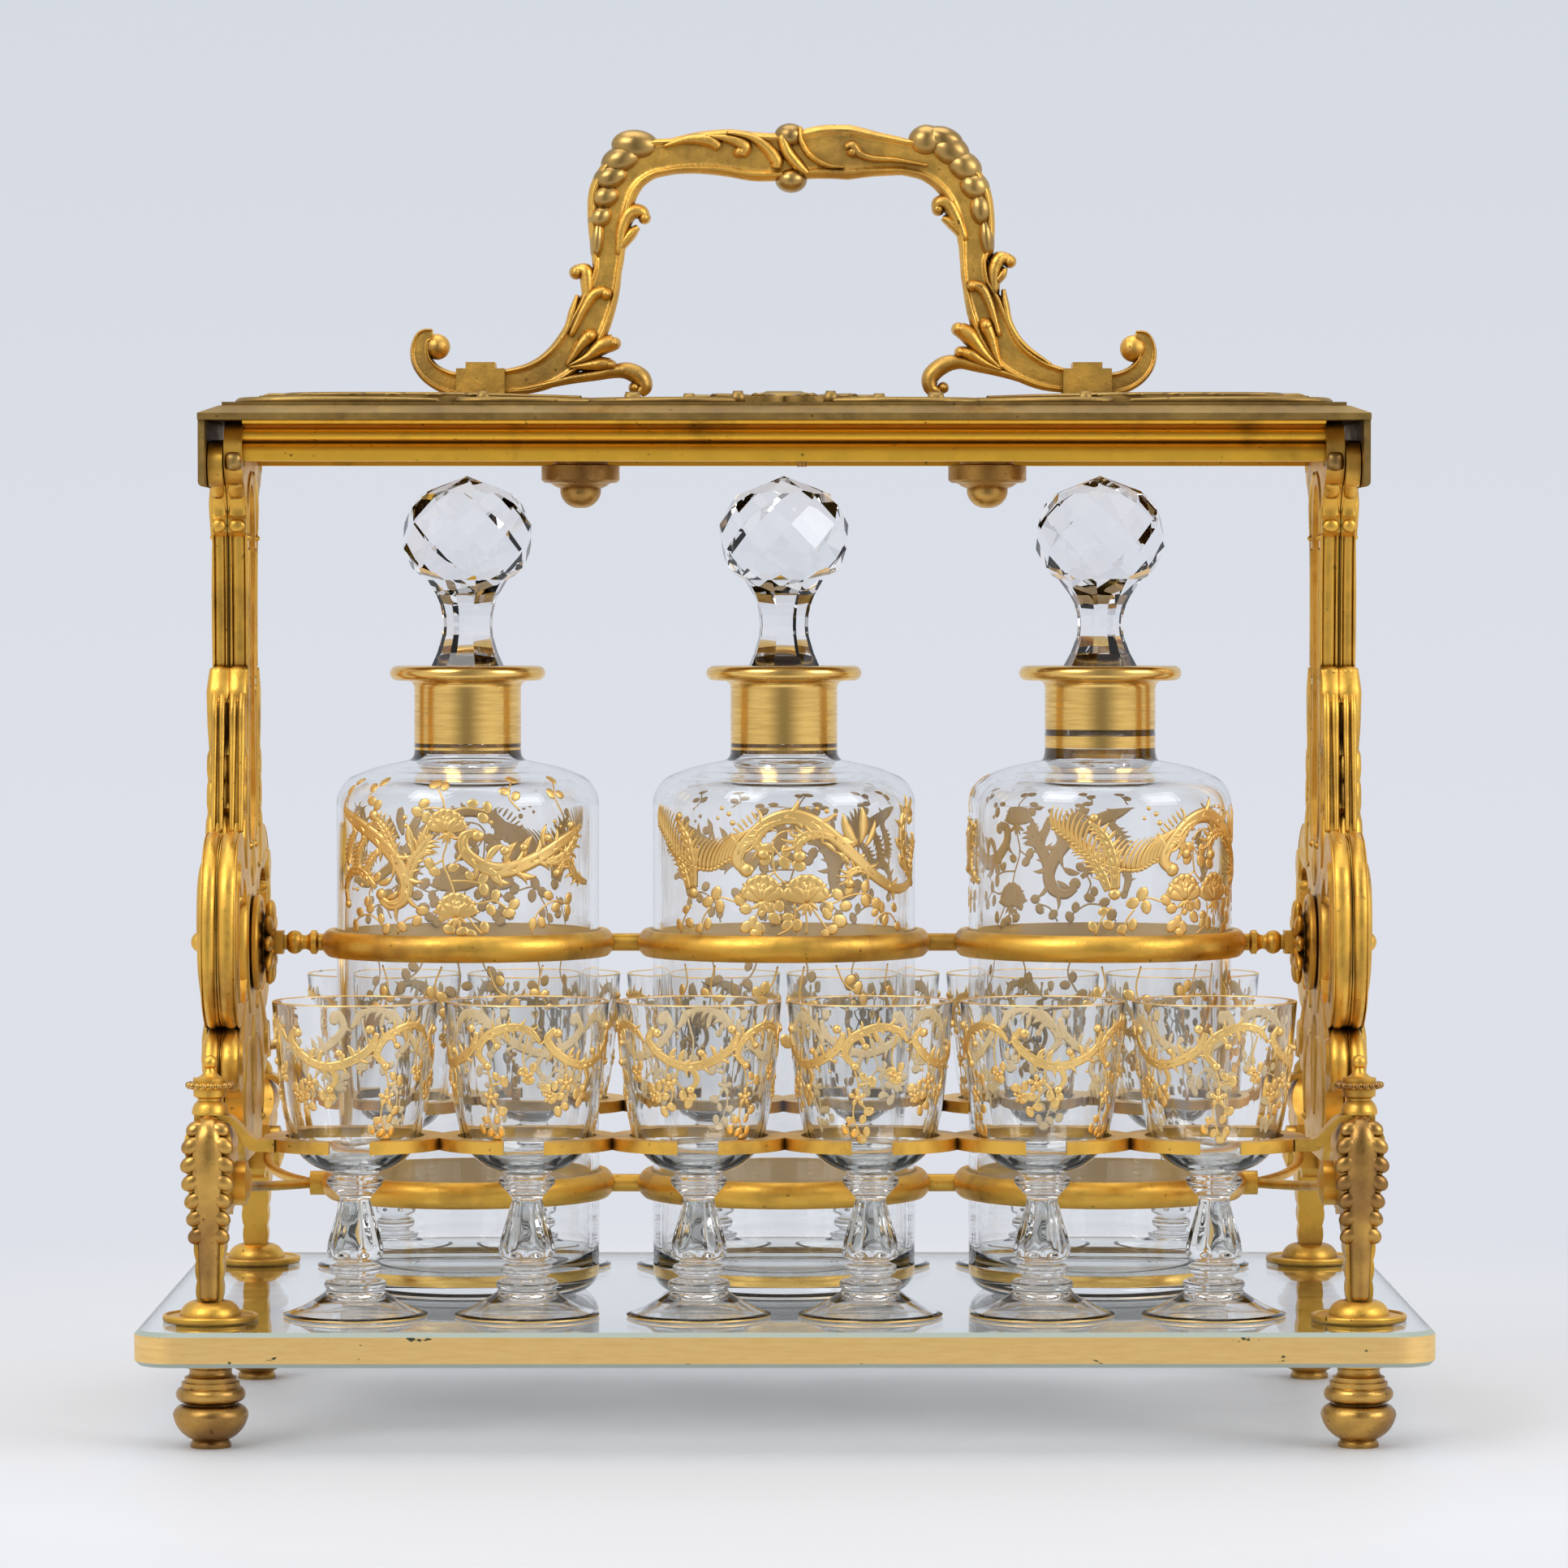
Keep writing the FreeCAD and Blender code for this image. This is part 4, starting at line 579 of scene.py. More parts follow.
# raised gold on the decanters
# u runs round the wall from the middle of the panel and v is the height; both in millimetres
archPanel = {
    "scrolls": (
        (((-12, 168.5), (-14.5, 172), (-11, 178), (-5, 183), (2, 184.8), (9, 182.8), (16, 178), (23, 172),
          (31, 166), (40, 162.3), (49, 163.5), (53, 169)),
         (1.6, 2.1, 1.8, 2, 2.4, 2.4, 2.1, 1.9, 1.8, 1.6, 1.3, 0.5), 0.75),
        (((-1, 183.6), (-6, 181), (-8.6, 177.5), (-7.2, 174.8)), (0.7, 1.4, 1.7, 1.5), 0.8),
        (((16, 178), (10, 179.4), (5, 178), (3.6, 174.6)), (0.8, 1.6, 1.9, 1.5), 0.8),
        (((29, 166.8), (24, 168.6), (20.6, 167.4), (20.4, 165.4)), (0.6, 1.3, 1.4, 1.2), 0.7),
        (((52, 163), (47, 169), (44, 177), (45, 184), (49, 186.5), (51, 184)),
         (0.9, 1.6, 1.9, 1.8, 1.4, 0.8), 0.75),
        (((50, 164), (50.5, 169), (52.5, 174), (55, 177)), (0.8, 1.5, 1.6, 0.6), 0.65),
        (((-30, 163), (-30.5, 170), (-33, 178), (-38, 183.5)), (1.5, 1.9, 1.6, 0.5), 0.75),
        (((-32, 162.5), (-34.5, 168), (-38.5, 173), (-44, 176)), (1.3, 1.6, 1.3, 0.4), 0.65),
    ),
    "bulbs": ((-11.6, 168.6, 2.3), (-6.4, 173.4, 1.8), (4.6, 172.8, 2), (20.6, 164.4, 1.7),
              (49.6, 183, 1.6), (-30.2, 161.4, 1.9), (-36.5, 184.5, 1.3)),
    "leaves": ((23.5, 176, 11, 1.8, 118, 0.6, 0.10), (24.6, 176.6, 11, 1.9, 88, 0.6, -0.08),
               (23, 176, 7, 1.7, 152, 0.55, 0.12), (26, 175.5, 9, 1.2, 62, 0.5, -0.10),
               (11.5, 177, 6, 0.9, -38, 0.5, 0.10), (16, 174, 6.5, 0.9, -42, 0.5, 0.10),
               (46, 168, 6.5, 1.1, 128, 0.5, 0.12), (44.6, 174, 6, 1, 140, 0.5, 0.12),
               (36, 163.6, 6, 0.9, 150, 0.5, -0.12)),
    "dots": ((25.4, 172.6, 0.9), (26.6, 170.7, 0.75), (27.7, 169, 0.6), (28.6, 167.6, 0.5),
             (-17.2, 185.5, 0.8), (-19.6, 187.2, 0.7), (-16, 182.8, 0.9), (-21, 184.2, 0.6),
             (7, 187.4, 0.6), (10, 187.2, 0.7), (13, 186.4, 0.8), (15.8, 185.2, 0.7)),
    "stems": (((-3.6, 177.4), (-1.4, 179.8), (2, 180.6), (5.4, 180)),
              ((-3.6, 177.4), (-3.4, 171.5), (-2.6, 167.5), (0.4, 164.6)),
              ((-3.6, 176), (-1, 172.6), (2.6, 171)), ((-3, 168), (-5.4, 166.4)),
              ((-10.8, 158.2), (-14.5, 158.8), (-18.5, 160), (-21.5, 160.4)),
              ((-6, 158.6), (-8.2, 155.6), (-9.2, 151.6)), ((-1.6, 162.6), (-2.6, 158.6), (-3.2, 155.2)),
              ((3, 158.6), (3.2, 155), (2, 151.4), (-2.4, 148.8)), ((6.2, 157.6), (6.8, 153), (6.6, 149.2)),
              ((8.2, 157.6), (11, 153.6), (14.4, 149.2)),
              ((11, 159.4), (15, 158.6), (20, 160.6), (26, 161.2), (30.2, 159.2)),
              ((29.5, 150.6), (32.5, 154.6), (37, 154.8), (40.5, 152)),
              ((-27.5, 148.6), (-26.5, 153.4), (-23.8, 157.2)), ((-36, 149), (-34, 154), (-31, 157.6)),
              ((-2, 139.6), (-3.6, 134.5), (-7, 130.6)), ((6, 139.6), (4.6, 131), (5.6, 124), (2, 118)),
              ((16, 139.8), (19, 134), (24.5, 130.6)), ((-22, 139.6), (-23.5, 133), (-21.5, 126)),
              ((-34, 139.6), (-33, 133.6), (-36.5, 128)), ((36, 139.6), (35, 133), (39, 127.5))),
    "rounds": ((-5.1, 175.2, 1.6), (-5.7, 171.7, 1.5), (0.4, 174.4, 1.5), (0, 170.9, 1.6), (4.4, 170, 1.6),
               (-24.6, 158.7, 1.6), (-21.6, 161.4, 1.7), (-20.4, 157.5, 1.6), (-13.8, 159.4, 1.5),
               (-11.8, 156.8, 1.5), (-11.7, 151.5, 1.6), (-9.5, 152.8, 1.5), (-7.5, 151.2, 1.5),
               (-8.8, 149.4, 1.4), (-6.8, 155.6, 0.9), (-4.3, 157.4, 1.3), (-1.4, 157.8, 1.4),
               (-3, 154.1, 1.6), (1.1, 154.5, 1.3), (0.8, 152.2, 1.4), (3.9, 152, 1.5), (13.2, 155.4, 1.5),
               (17.3, 153.2, 1.9), (14.8, 150.6, 1.5), (12.6, 149.2, 1.4), (14, 157.4, 1.3),
               (16.6, 161.2, 1.6), (19.3, 157.6, 1.6), (20.4, 162.2, 1.3), (26.2, 163.2, 1.5),
               (26.4, 159, 1.6), (31, 158, 1.8), (30.3, 155.4, 1.2), (34.9, 152.9, 1.5), (33.3, 156.9, 1.3),
               (39.4, 156.6, 1.3), (41.4, 150.8, 1.4), (-27.9, 150.8, 1.3), (-24.7, 152.2, 1.4),
               (-36.8, 151.6, 1.3), (-32, 152.2, 1.4), (-33.6, 156.2, 1.2), (-5.8, 133.2, 1.5),
               (-8.4, 131.6, 1.5), (-6.2, 128.8, 1.6), (2.4, 128.8, 1.4), (7.8, 127, 1.6),
               (3.2, 122.6, 1.5), (0.6, 117, 1.7), (4, 118.4, 1.5), (20.8, 135.2, 1.5), (23.6, 132.8, 1.6),
               (25.6, 128.8, 1.6), (-25.6, 131, 1.5), (-20.4, 129.4, 1.5), (-22, 124.6, 1.6),
               (-35.4, 131.6, 1.4), (-38, 127.2, 1.5), (37, 131.4, 1.5), (40.4, 127, 1.6)),
    "roses": ((-6.9, 163, 4.9), (6.7, 162.8, 5.2)),
    "comb": {"base": ((-49, 181.5), (-43, 177), (-37, 172.2), (-30, 169.6), (-23, 169), (-17, 172)),
             "count": 25, "length": (6.5, 9.5, 11, 9, 12.5, 13.5), "lean": (102, 62), "width": 0.62},
    "ladder": {"path": ((-17.4, 171), (-17, 176), (-13.4, 181.6), (-7.6, 186)), "count": 13,
               "length": 3, "width": 0.42}}
leafPanel = {
    "scrolls": (
        (((-46, 186.5), (-41, 184), (-34, 181), (-26.7, 177), (-20.4, 170.8), (-17.2, 164.4), (-18.4, 159.6),
          (-23, 157.8), (-26.6, 159.8)), (0.8, 1.8, 2.3, 2.5, 2.4, 2.3, 2, 1.7, 1.3), 0.85),
        (((-20, 170.5), (-22.5, 176), (-25, 180.5), (-28.6, 184)), (1.4, 1.8, 1.6, 1), 0.75),
        (((-17.4, 163.5), (-15.2, 170.6), (-12.4, 174.2), (-9, 179.4)), (1.3, 2.1, 1.9, 0.7), 0.75),
        (((4.8, 180.2), (0.8, 178.6), (1.4, 173.8), (7.7, 169.4), (14.7, 168.8), (24.7, 172.3), (33.7, 177),
          (43, 181.4)), (1.2, 1.7, 1.9, 2.2, 2.5, 2.3, 1.9, 0.9), 0.8),
        (((24, 171.8), (30, 171), (36, 173.5), (40, 178.5), (38.4, 182.6)), (1.1, 1.7, 1.7, 1.3, 0.9), 0.7),
        (((-43, 158), (-44, 163.5), (-40, 167.6), (-34.1, 167.2), (-28.5, 163)),
         (1, 1.4, 1.6, 1.4, 0.8), 0.7),
        (((-38, 180.5), (-41.5, 175.5), (-42.8, 169.5)), (1.2, 1.6, 0.5), 0.65),
        (((-33, 178.4), (-36.5, 173.6), (-37, 168.8)), (1.2, 1.6, 0.5), 0.65),
        (((-27, 174.6), (-31, 171), (-32.2, 167.6)), (1, 1.4, 0.5), 0.6),
        (((46, 164), (40, 166), (36, 171), (31.5, 168)), (0.9, 1.6, 1.4, 0.9), 0.7)),
    "bulbs": ((-26.4, 161, 2), (-29.4, 184.8, 1.9), (5, 179, 1.9), (13.3, 174.5, 1.6), (19.4, 175.4, 1.4),
              (28, 178.1, 1.5), (37.6, 181.8, 1.5), (-42.6, 157.6, 1.4), (31.4, 167.4, 1.5)),
    "leaves": ((7.6, 171, 7.5, 1.3, 46, 0.6, 0.12), (13.4, 170.6, 7.5, 1.3, 60, 0.6, 0.12),
               (19.6, 172.6, 7, 1.2, 66, 0.55, 0.12), (26.4, 175.4, 7, 1.1, 82, 0.55, 0.12),
               (8.4, 168, 7.5, 1.2, -28, 0.5, -0.12), (16, 168.4, 8, 1.2, -14, 0.5, -0.10),
               (24.6, 172, 7.5, 1.1, -6, 0.5, -0.10), (-14.6, 174.6, 8, 1.5, 104, 0.6, 0.08),
               (-13.6, 176.6, 7, 1.3, 62, 0.55, -0.10), (-22.4, 166, 6, 1.2, 196, 0.55, 0.10),
               (-20.2, 162, 5, 1, 204, 0.5, 0.10)),
    "dots": ((-16.6, 179.8, 0.7), (-17.4, 182, 0.8), (-17.8, 184.4, 0.9), (-35, 163.6, 0.8),
             (-37.4, 162.2, 0.7), (-39.6, 162.4, 0.6), (33, 181.4, 0.6), (30.6, 183, 0.7), (9, 183, 0.7)),
    "stems": (((-7.6, 194), (-5.6, 189.8), (-4.9, 186), (-4.2, 178), (-5.6, 171.5), (-3.2, 165),
               (-1.8, 160.4)),
              ((-4.8, 187), (-9.6, 187.4), (-13.4, 186.4)), ((-4.4, 185.6), (1, 187.4), (7.4, 186.6)),
              ((-5.2, 172), (-8.4, 170.2)), ((-3, 165.4), (2, 165.4), (6.2, 164.6)),
              ((-2, 159.6), (5, 158.6), (10, 159.4), (14.4, 156.8)),
              ((-2.6, 158.6), (-4, 153.6), (-2.2, 149.2)), ((0.4, 157), (3.4, 152.6), (6.4, 149.2)),
              ((-30, 157), (-31.6, 161), (-29.6, 164.6)),
              ((-40, 149.2), (-37, 153.4), (-31, 154.6), (-25.6, 151.6)),
              ((-20.4, 149.2), (-17.6, 153.4), (-13, 155)),
              ((22, 149.2), (24, 155.2), (29.6, 158.8), (35.6, 158)),
              ((-30.6, 187.6), (-32, 191), (-29, 195.2)), ((18, 186.4), (14.6, 191), (16.6, 196.2)),
              ((34, 185), (31, 190.4), (33, 196)), ((-44, 188.4), (-42, 194.6)),
              ((-6, 139.6), (-8, 133.6), (-5.4, 127)), ((8, 139.6), (10.4, 133), (15, 129)),
              ((26, 139.6), (24.4, 132.6), (27.6, 126.6)), ((-26, 139.6), (-24, 133), (-27, 127))),
    "rounds": ((-30.6, 189.2, 1.4), (-28, 188, 1.4), (-28.4, 196.4, 1.6), (-31.6, 193.6, 1.4),
               (-13.6, 186.2, 1.5), (-11.4, 188.8, 1.4), (-10.8, 184.6, 1.4), (7.9, 187.6, 1.4),
               (6.6, 184.4, 1.4), (3.4, 188.8, 1.3), (-8.6, 195.4, 1.7), (-5.4, 194.6, 1.4),
               (-9.8, 170.6, 1.5), (-8.2, 168.2, 1.4), (-2.4, 169.4, 1.3), (6.6, 166.2, 1.5),
               (6.8, 162.8, 1.5), (2.6, 167, 1.2), (14.6, 155.6, 1.5), (16.2, 158.2, 1.5), (10.4, 161, 1.4),
               (9, 156.6, 1.4), (-3.8, 150.8, 1.4), (0.2, 150.2, 1.4), (-5.6, 154.6, 1.3), (7, 151.4, 1.4),
               (3, 149.4, 1.3), (-31.2, 165.4, 1.3), (-28.2, 166.2, 1.3), (-32.8, 158.6, 1.2),
               (-38.6, 151.2, 1.5), (-36.2, 155.2, 1.4), (-31.2, 156.6, 1.4), (-24.6, 150.6, 1.4),
               (-26.6, 153.6, 1.3), (-18.8, 151.4, 1.4), (-12, 156.4, 1.4), (-13.8, 153.2, 1.4),
               (22.4, 152.2, 1.4), (25.6, 152.6, 1.4), (28.2, 160.6, 1.4), (31, 157, 1.4),
               (36.6, 159.4, 1.5), (36.2, 156, 1.4), (17.2, 197.4, 1.6), (13.6, 192.6, 1.4), (17, 191, 1.3),
               (33.6, 197.2, 1.6), (29.8, 191.6, 1.4), (33.4, 191.2, 1.3), (-41.6, 196, 1.5),
               (-44, 192.6, 1.3), (-9.4, 131.8, 1.4), (-6.2, 130.4, 1.4), (-4.8, 125.6, 1.6),
               (12.2, 129.6, 1.5), (16.4, 127.6, 1.6), (11.8, 135.2, 1.3), (23, 131.2, 1.4),
               (26.6, 130.6, 1.4), (28.4, 125.2, 1.6), (-25.6, 131.6, 1.4), (-28.6, 126, 1.6),
               (-23, 129.2, 1.4)),
    "roses": ((-4.6, 183.4, 4.4), (-1.6, 157.9, 4.6))}
# how raised lines are drawn; a rose is rings of petals, each ring with its headings, its reach and half width
# as shares of the rose's radius, and its lift
raised = {"girth": 40.35, "scrollLift": 1.15, "scrollGroove": 0.62, "bulbLift": 0.95, "dotLift": 0.7,
          "round": 0.20, "roundLong": 1.25, "stem": 0.16, "stemHalf": 0.30,
          "fringeFrom": 1.35, "fringeCount": 10, "fringeLong": 3.3, "fringeWide": 0.40, "fringeTurn": 42,
          "fringeLift": 0.85, "fringeBend": 0.16,
          "petals": (((12, 40, 66, 90, 114, 140, 168), 1.62, 0.36, 0.34),
                     ((48, 76, 104, 132), 1.24, 0.30, 0.55),
                     ((78, 102), 0.90, 0.24, 0.75), ((-35, -75, -110, -145), 0.85, 0.14, 0.30)),
          "tips": (24, 54, 78, 102, 126, 156)}


# a rose from the side: petals fan up from a calyx, the inner ones shorter and higher
def roseLines(u, v, radius):
    lines = []
    base = v - radius * 0.75
    for headings, reach, wide, lift in raised["petals"]:
        for heading in headings:
            bend = 0.10 if heading < 90 else -0.10
            lines.append(leaf(u, base, radius * reach, radius * wide, heading, lift, bend))
    for heading in raised["tips"]:
        turn = math.radians(heading)
        lines.append(blob(u + radius * 1.22 * math.cos(turn), base + radius * 1.42 * math.sin(turn),
                          radius * 0.26, 0.42, 1.3, heading + 90))
    return lines


# a flower from the front: a round middle and five petals
def flowerLines(u, v, radius):
    lines = [blob(u, v, radius * 0.34, 0.75)]
    for heading in range(90, 450, 72):
        turn = math.radians(heading)
        lines.append(blob(u + radius * 0.62 * math.cos(turn), v + radius * 0.62 * math.sin(turn),
                          radius * 0.30, 0.45, 1.35, heading))
    return lines


# tapered teeth along a base line, each leaning a little further than the last
def combLines(look):
    base = curveThrough(look["base"], look["count"])
    share = np.linspace(0, 1, look["count"])
    length = np.interp(share, np.linspace(0, 1, len(look["length"])), look["length"])
    lean = np.interp(share, (0, 1), look["lean"])
    lines = []
    for (u, v), reach, turn in zip(base, length, lean):
        bent = []
        for t in (0.0, 0.35, 0.7, 1.0):
            heading = math.radians(turn + 16 - 30 * t)
            bent.append((u + reach * t * math.cos(heading), v + reach * t * math.sin(heading)))
        lines.append(stroke(bent, (look["width"] * 1.3, look["width"], look["width"] * 0.6, 0.12), 0.6))
        lines.append(blob(u, v - 0.3, look["width"] * 1.35, 0.65))
    return lines


# short rungs set square to a path
def ladderLines(look):
    path = curveThrough(look["path"], look["count"])
    ahead = np.gradient(path, axis=0)
    ahead /= np.linalg.norm(ahead, axis=1)[:, None]
    half = look["length"] / 2
    return [stroke([(u + half * dv, v - half * du), (u, v), (u - half * dv, v + half * du)],
                   (look["width"] * 0.7, look["width"], look["width"] * 0.7), 0.35)
            for (u, v), (du, dv) in zip(path, ahead)]


# thin leaves that branch forward from both sides of a broad scroll
def fringeLines(points, widths, lift):
    path = curveThrough(points, raised["fringeCount"])
    ahead = np.gradient(path, axis=0)
    half = np.interp(np.linspace(0, 1, len(path)), np.linspace(0, 1, len(widths)), widths)
    lines = []
    for (u, v), (aheadU, aheadV), width in list(zip(path, ahead, half))[1:-2]:
        heading = math.degrees(math.atan2(aheadV, aheadU))
        for side in (1, -1):
            lines.append(leaf(u, v, width * raised["fringeLong"], width * raised["fringeWide"],
                              heading + side * raised["fringeTurn"], lift * raised["fringeLift"],
                              -side * raised["fringeBend"]))
    return lines


def panelLines(panel):
    lines = [stroke(points, widths, lift * raised["scrollLift"], raised["scrollGroove"])
             for points, widths, lift in panel["scrolls"]]
    for points, widths, lift in panel["scrolls"]:
        if max(widths) > raised["fringeFrom"]:
            lines += fringeLines(points, widths, lift)
    lines += [blob(u, v, radius, raised["bulbLift"]) for u, v, radius in panel["bulbs"]]
    lines += [leaf(*values) for values in panel["leaves"]]
    lines += [blob(u, v, radius, radius * raised["dotLift"]) for u, v, radius in panel["dots"]]
    lines += [stroke(points, (raised["stemHalf"],) * 2, raised["stem"]) for points in panel["stems"]]
    lines += [blob(u, v, radius * 1.12, raised["round"], raised["roundLong"], 40 * index)
              for index, (u, v, radius) in enumerate(panel["rounds"])]
    for flower in panel.get("flowers", ()):
        lines += flowerLines(*flower)
    for rose in panel.get("roses", ()):
        lines += roseLines(*rose)
    if "comb" in panel:
        lines += combLines(panel["comb"]) + ladderLines(panel["ladder"])
    return lines


# faces whose normal points back at the upright axis at (x, y)
def facingAxis(x, y):
    def test(middle, normal):
        outX, outY = middle[0] - x, middle[1] - y
        return (outX * normal[0] + outY * normal[1]) < -0.5 * np.hypot(outX, outY)
    return test


# gold on the neck and lip outside the bore, a line below it and a band round the heel
def goldOnDecanter(spec):
    def test(middle, normal):
        x, y, z = middle
        radius = np.hypot(x - spec["x"], y)
        d = decanter
        lineLow, lineHigh, goldFoot = spec.get("neckGold", d["neckGold"])
        neck = (z > goldFoot) & (radius > spec["neck"] - 3.5)
        line = (z > lineLow) & (z < lineHigh) & (radius > spec["neck"] - 1)
        band = (z > d["bandLow"]) & (z < d["bandHigh"]) & (radius > d["wall"] - 1)
        return neck | line | band
    return test


def makeDecanters():
    for name, spec in decanters.items():
        outside = decanterOutside(spec)
        profile = joined(outside, decanterInside())
        grid = turnedGrid(profile, decanter["segments"], spec["x"], 0.0)
        piece = meshFromGrids("decanter_glass_" + name, [grid], finishes["decanter"],
                              "decanter_%s_body" % name, capped=False)
        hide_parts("decanter_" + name)
        paint(piece, finishes["neckGold"], goldOnDecanter(spec))
        wall = outside[(outside[:, 1] > decanter["bandHigh"]) & (outside[:, 1] < decanter["neckFoot"])]
        ways = wall[0, 1] + np.concatenate([[0.0], np.cumsum(np.linalg.norm(np.diff(wall, axis=0), axis=1))])
        for side, panel, turn in (("arch", archPanel, 0.0), ("leaf", leafPanel, 180.0)):
            ground = wallGround(wall, ways, spec["x"], 0.0, raised["girth"], spec["turn"] + turn)
            gold = meshFromGrids("decanter_%s_%s_gold" % (name, side), strokeGrids(panelLines(panel), ground),
                                 finishes["enamel"], "decanter_%s_body" % name)
            paint(gold, finishes["goldBackAndRingLight"], facingAxis(spec["x"], 0.0))


makeDecanters()
print("decanters blown")


# liqueur glasses
# tables are radius and height above the plate, up the outside and down the inside
liqueur = {
    "bottom": 37.3, "segments": 96, "pitch": 51.0, "row": 69.0, "girth": 23.5, "thirds": (0.0, 120.0, 240.0),
    "turns": (0.0, 65.0, 130.0, 200.0, 265.0, 330.0), "rimGold": 93.62, "footGold": (0.3, 1.0, 21.2),
    "under": ((0.0, 6.6), (5.0, 6.3), (8.6, 5.5), (12.0, 3.5), (16.0, 1.6), (19.4, 0.3), (20.4, 0.0),
              (21.3, 0.3)),
    "foot": ((21.5, 0.9), (16.0, 3.0), (9.6, 6.9), (8.6, 8.3)),
    "knops": ((8.6, 8.3), (9.3, 9.7), (8.4, 10.9), (6.0, 11.6), (6.1, 12.4), (7.6, 13.4), (7.5, 15.2),
              (5.8, 16.0), (6.0, 16.7), (7.9, 17.6), (8.2, 19.4), (7.6, 23.0), (5.9, 28.8), (4.7, 33.4),
              (4.55, 35.3), (5.4, 36.4), (7.4, 38.6), (8.3, 39.8), (8.3, 41.0), (7.2, 41.8), (6.7, 42.7)),
    "bowl": ((6.7, 42.7), (8.9, 43.5), (13.0, 45.4), (16.6, 48.6), (19.2, 53.4), (21.2, 62.2), (22.9, 76.0),
             (24.5, 93.5)),
    "inside": ((23.7, 93.4), (23.0, 88.0), (21.6, 76.0), (19.8, 62.2), (17.5, 53.4), (14.2, 48.9),
               (8.4, 46.0), (0.0, 45.0)),
    "goldWall": ((16.6, 85.9), (19.2, 90.7), (21.2, 99.5), (22.9, 113.3), (24.5, 131.2))}


def liqueurProfile():
    rise = (0.0, liqueur["bottom"])
    foot, knops, bowl, inside = (curveThrough(np.add(liqueur[part], rise), count) for part, count
                                 in (("foot", 10), ("knops", 64), ("bowl", 30), ("inside", 30)))
    rim = arc((24.1, liqueur["bottom"] + 93.6), 0.4, 12, 168, 6)
    return joined(np.add(liqueur["under"], rise), foot, knops, bowl, rim, inside)


# shallow upright flutes blown into the bowl, and facets cut on the stem: each is a depth, how many go
# round, and the heights where it fades in and out with how fast it does so
optic = {"flute": (0.012, 6, 44, 8, 92, 26), "facet": (0.035, 8, 18, 2, 36, 3), "middle": 0.6}


def fadeBetween(z, low, lowWidth, high, highWidth):
    return np.clip((z - low) / lowWidth, 0, 1) * np.clip((high - z) / highWidth, 0, 1)


def opticRibs(height, angle):
    z = height - liqueur["bottom"]
    fluteDepth, flutes, *fluteSpan = optic["flute"]
    facetDepth, facets, *facetSpan = optic["facet"]
    return (fluteDepth * fadeBetween(z, *fluteSpan) * (np.abs(np.cos(flutes * angle)) - optic["middle"])
            + facetDepth * fadeBetween(z, *facetSpan) * np.cos(facets * angle))


def glassPlaces():
    for row, y in (("front", -liqueur["row"]), ("rear", liqueur["row"])):
        for index in range(6):
            yield "glass_%s_%d" % (row, index + 1), (index - 2.5) * liqueur["pitch"], y, index


# raised gold on each bowl, three times round; u runs round the bowl and v is the height
bowlPanel = {
    "scrolls": (
        (((-17.4, 124.4), (-19.6, 120.8), (-14.9, 115.9), (-7.2, 113.2), (1, 115.2), (6.4, 119),
          (8, 123.2)), (0.9, 1.3, 1.4, 1.4, 1.4, 1.3, 0.9), 0.42),
        (((10.8, 113.6), (8.2, 117), (10.8, 121.7), (17.9, 124.8), (24, 124), (27.4, 120.5)),
         (0.9, 1.2, 1.4, 1.3, 1.1, 0.6), 0.42),
        (((-6.4, 113.4), (-4.4, 109.6), (-6, 106.6)), (0.8, 1, 0.7), 0.38)),
    "bulbs": ((-16.6, 123, 1.5), (6, 124.2, 1.4), (-3.2, 117.4, 1.1), (-6.4, 106.4, 1.3),
              (11.2, 113.2, 1.3), (14.6, 119.2, 1.1)),
    "leaves": ((-12.8, 114.4, 5, 0.9, 62, 0.35, 0.1), (-9.4, 113.6, 4.8, 0.9, 76, 0.35, 0.1),
               (-2.4, 113.8, 4.8, 0.9, 100, 0.35, -0.1), (1.2, 115.4, 4.6, 0.8, 112, 0.35, -0.1),
               (12, 122.6, 4.4, 0.8, -58, 0.35, 0.1), (16.4, 124.4, 4.6, 0.8, -70, 0.35, 0.1)),
    "dots": ((5, 114.6, 0.6), (9.6, 124.2, 0.6), (-21.8, 118.2, 0.5), (3, 111.6, 0.5)),
    "stems": (((-10, 112.8), (-12, 108), (-16, 105), (-19.4, 106.4)),
              ((-12.2, 107.8), (-12.6, 103.4), (-15, 100.6)), ((-11.4, 109), (-8.4, 106.2), (-7.4, 103.2)),
              ((10.8, 113), (12.2, 106.8), (10.2, 99.4), (12.4, 92.6)), ((11.4, 103.6), (14.6, 100.6)),
              ((10.4, 98.6), (7.8, 95.2)), ((12, 107.6), (15.6, 108.4)), ((24, 123), (22.4, 116), (24, 110))),
    "rounds": ((-19.8, 106.8, 1.3), (-17.4, 103.6, 1.3), (-16.8, 107.4, 1.2), (-15.4, 99.8, 1.3),
               (-12.8, 101.2, 1.2), (-14.6, 104.2, 1.1), (-7.2, 102.4, 1.3), (-9, 104.6, 1.2),
               (-5.8, 104.4, 1.1), (12.8, 91.6, 1.4), (10.4, 93.4, 1.2), (14.6, 93.8, 1.2),
               (7.2, 94.4, 1.2), (9, 97.2, 1.1), (15.4, 100, 1.3), (13.4, 97.6, 1.1), (16.4, 108.8, 1.3),
               (13.8, 110.2, 1.1), (24.2, 109.2, 1.3), (22, 111.8, 1.1), (25.4, 113, 1.1)),
    "flowers": ((-13.2, 108.2, 2.9), (11.8, 104, 2.8), (-18.6, 104.4, 2.2), (23.4, 110.6, 2.3))}


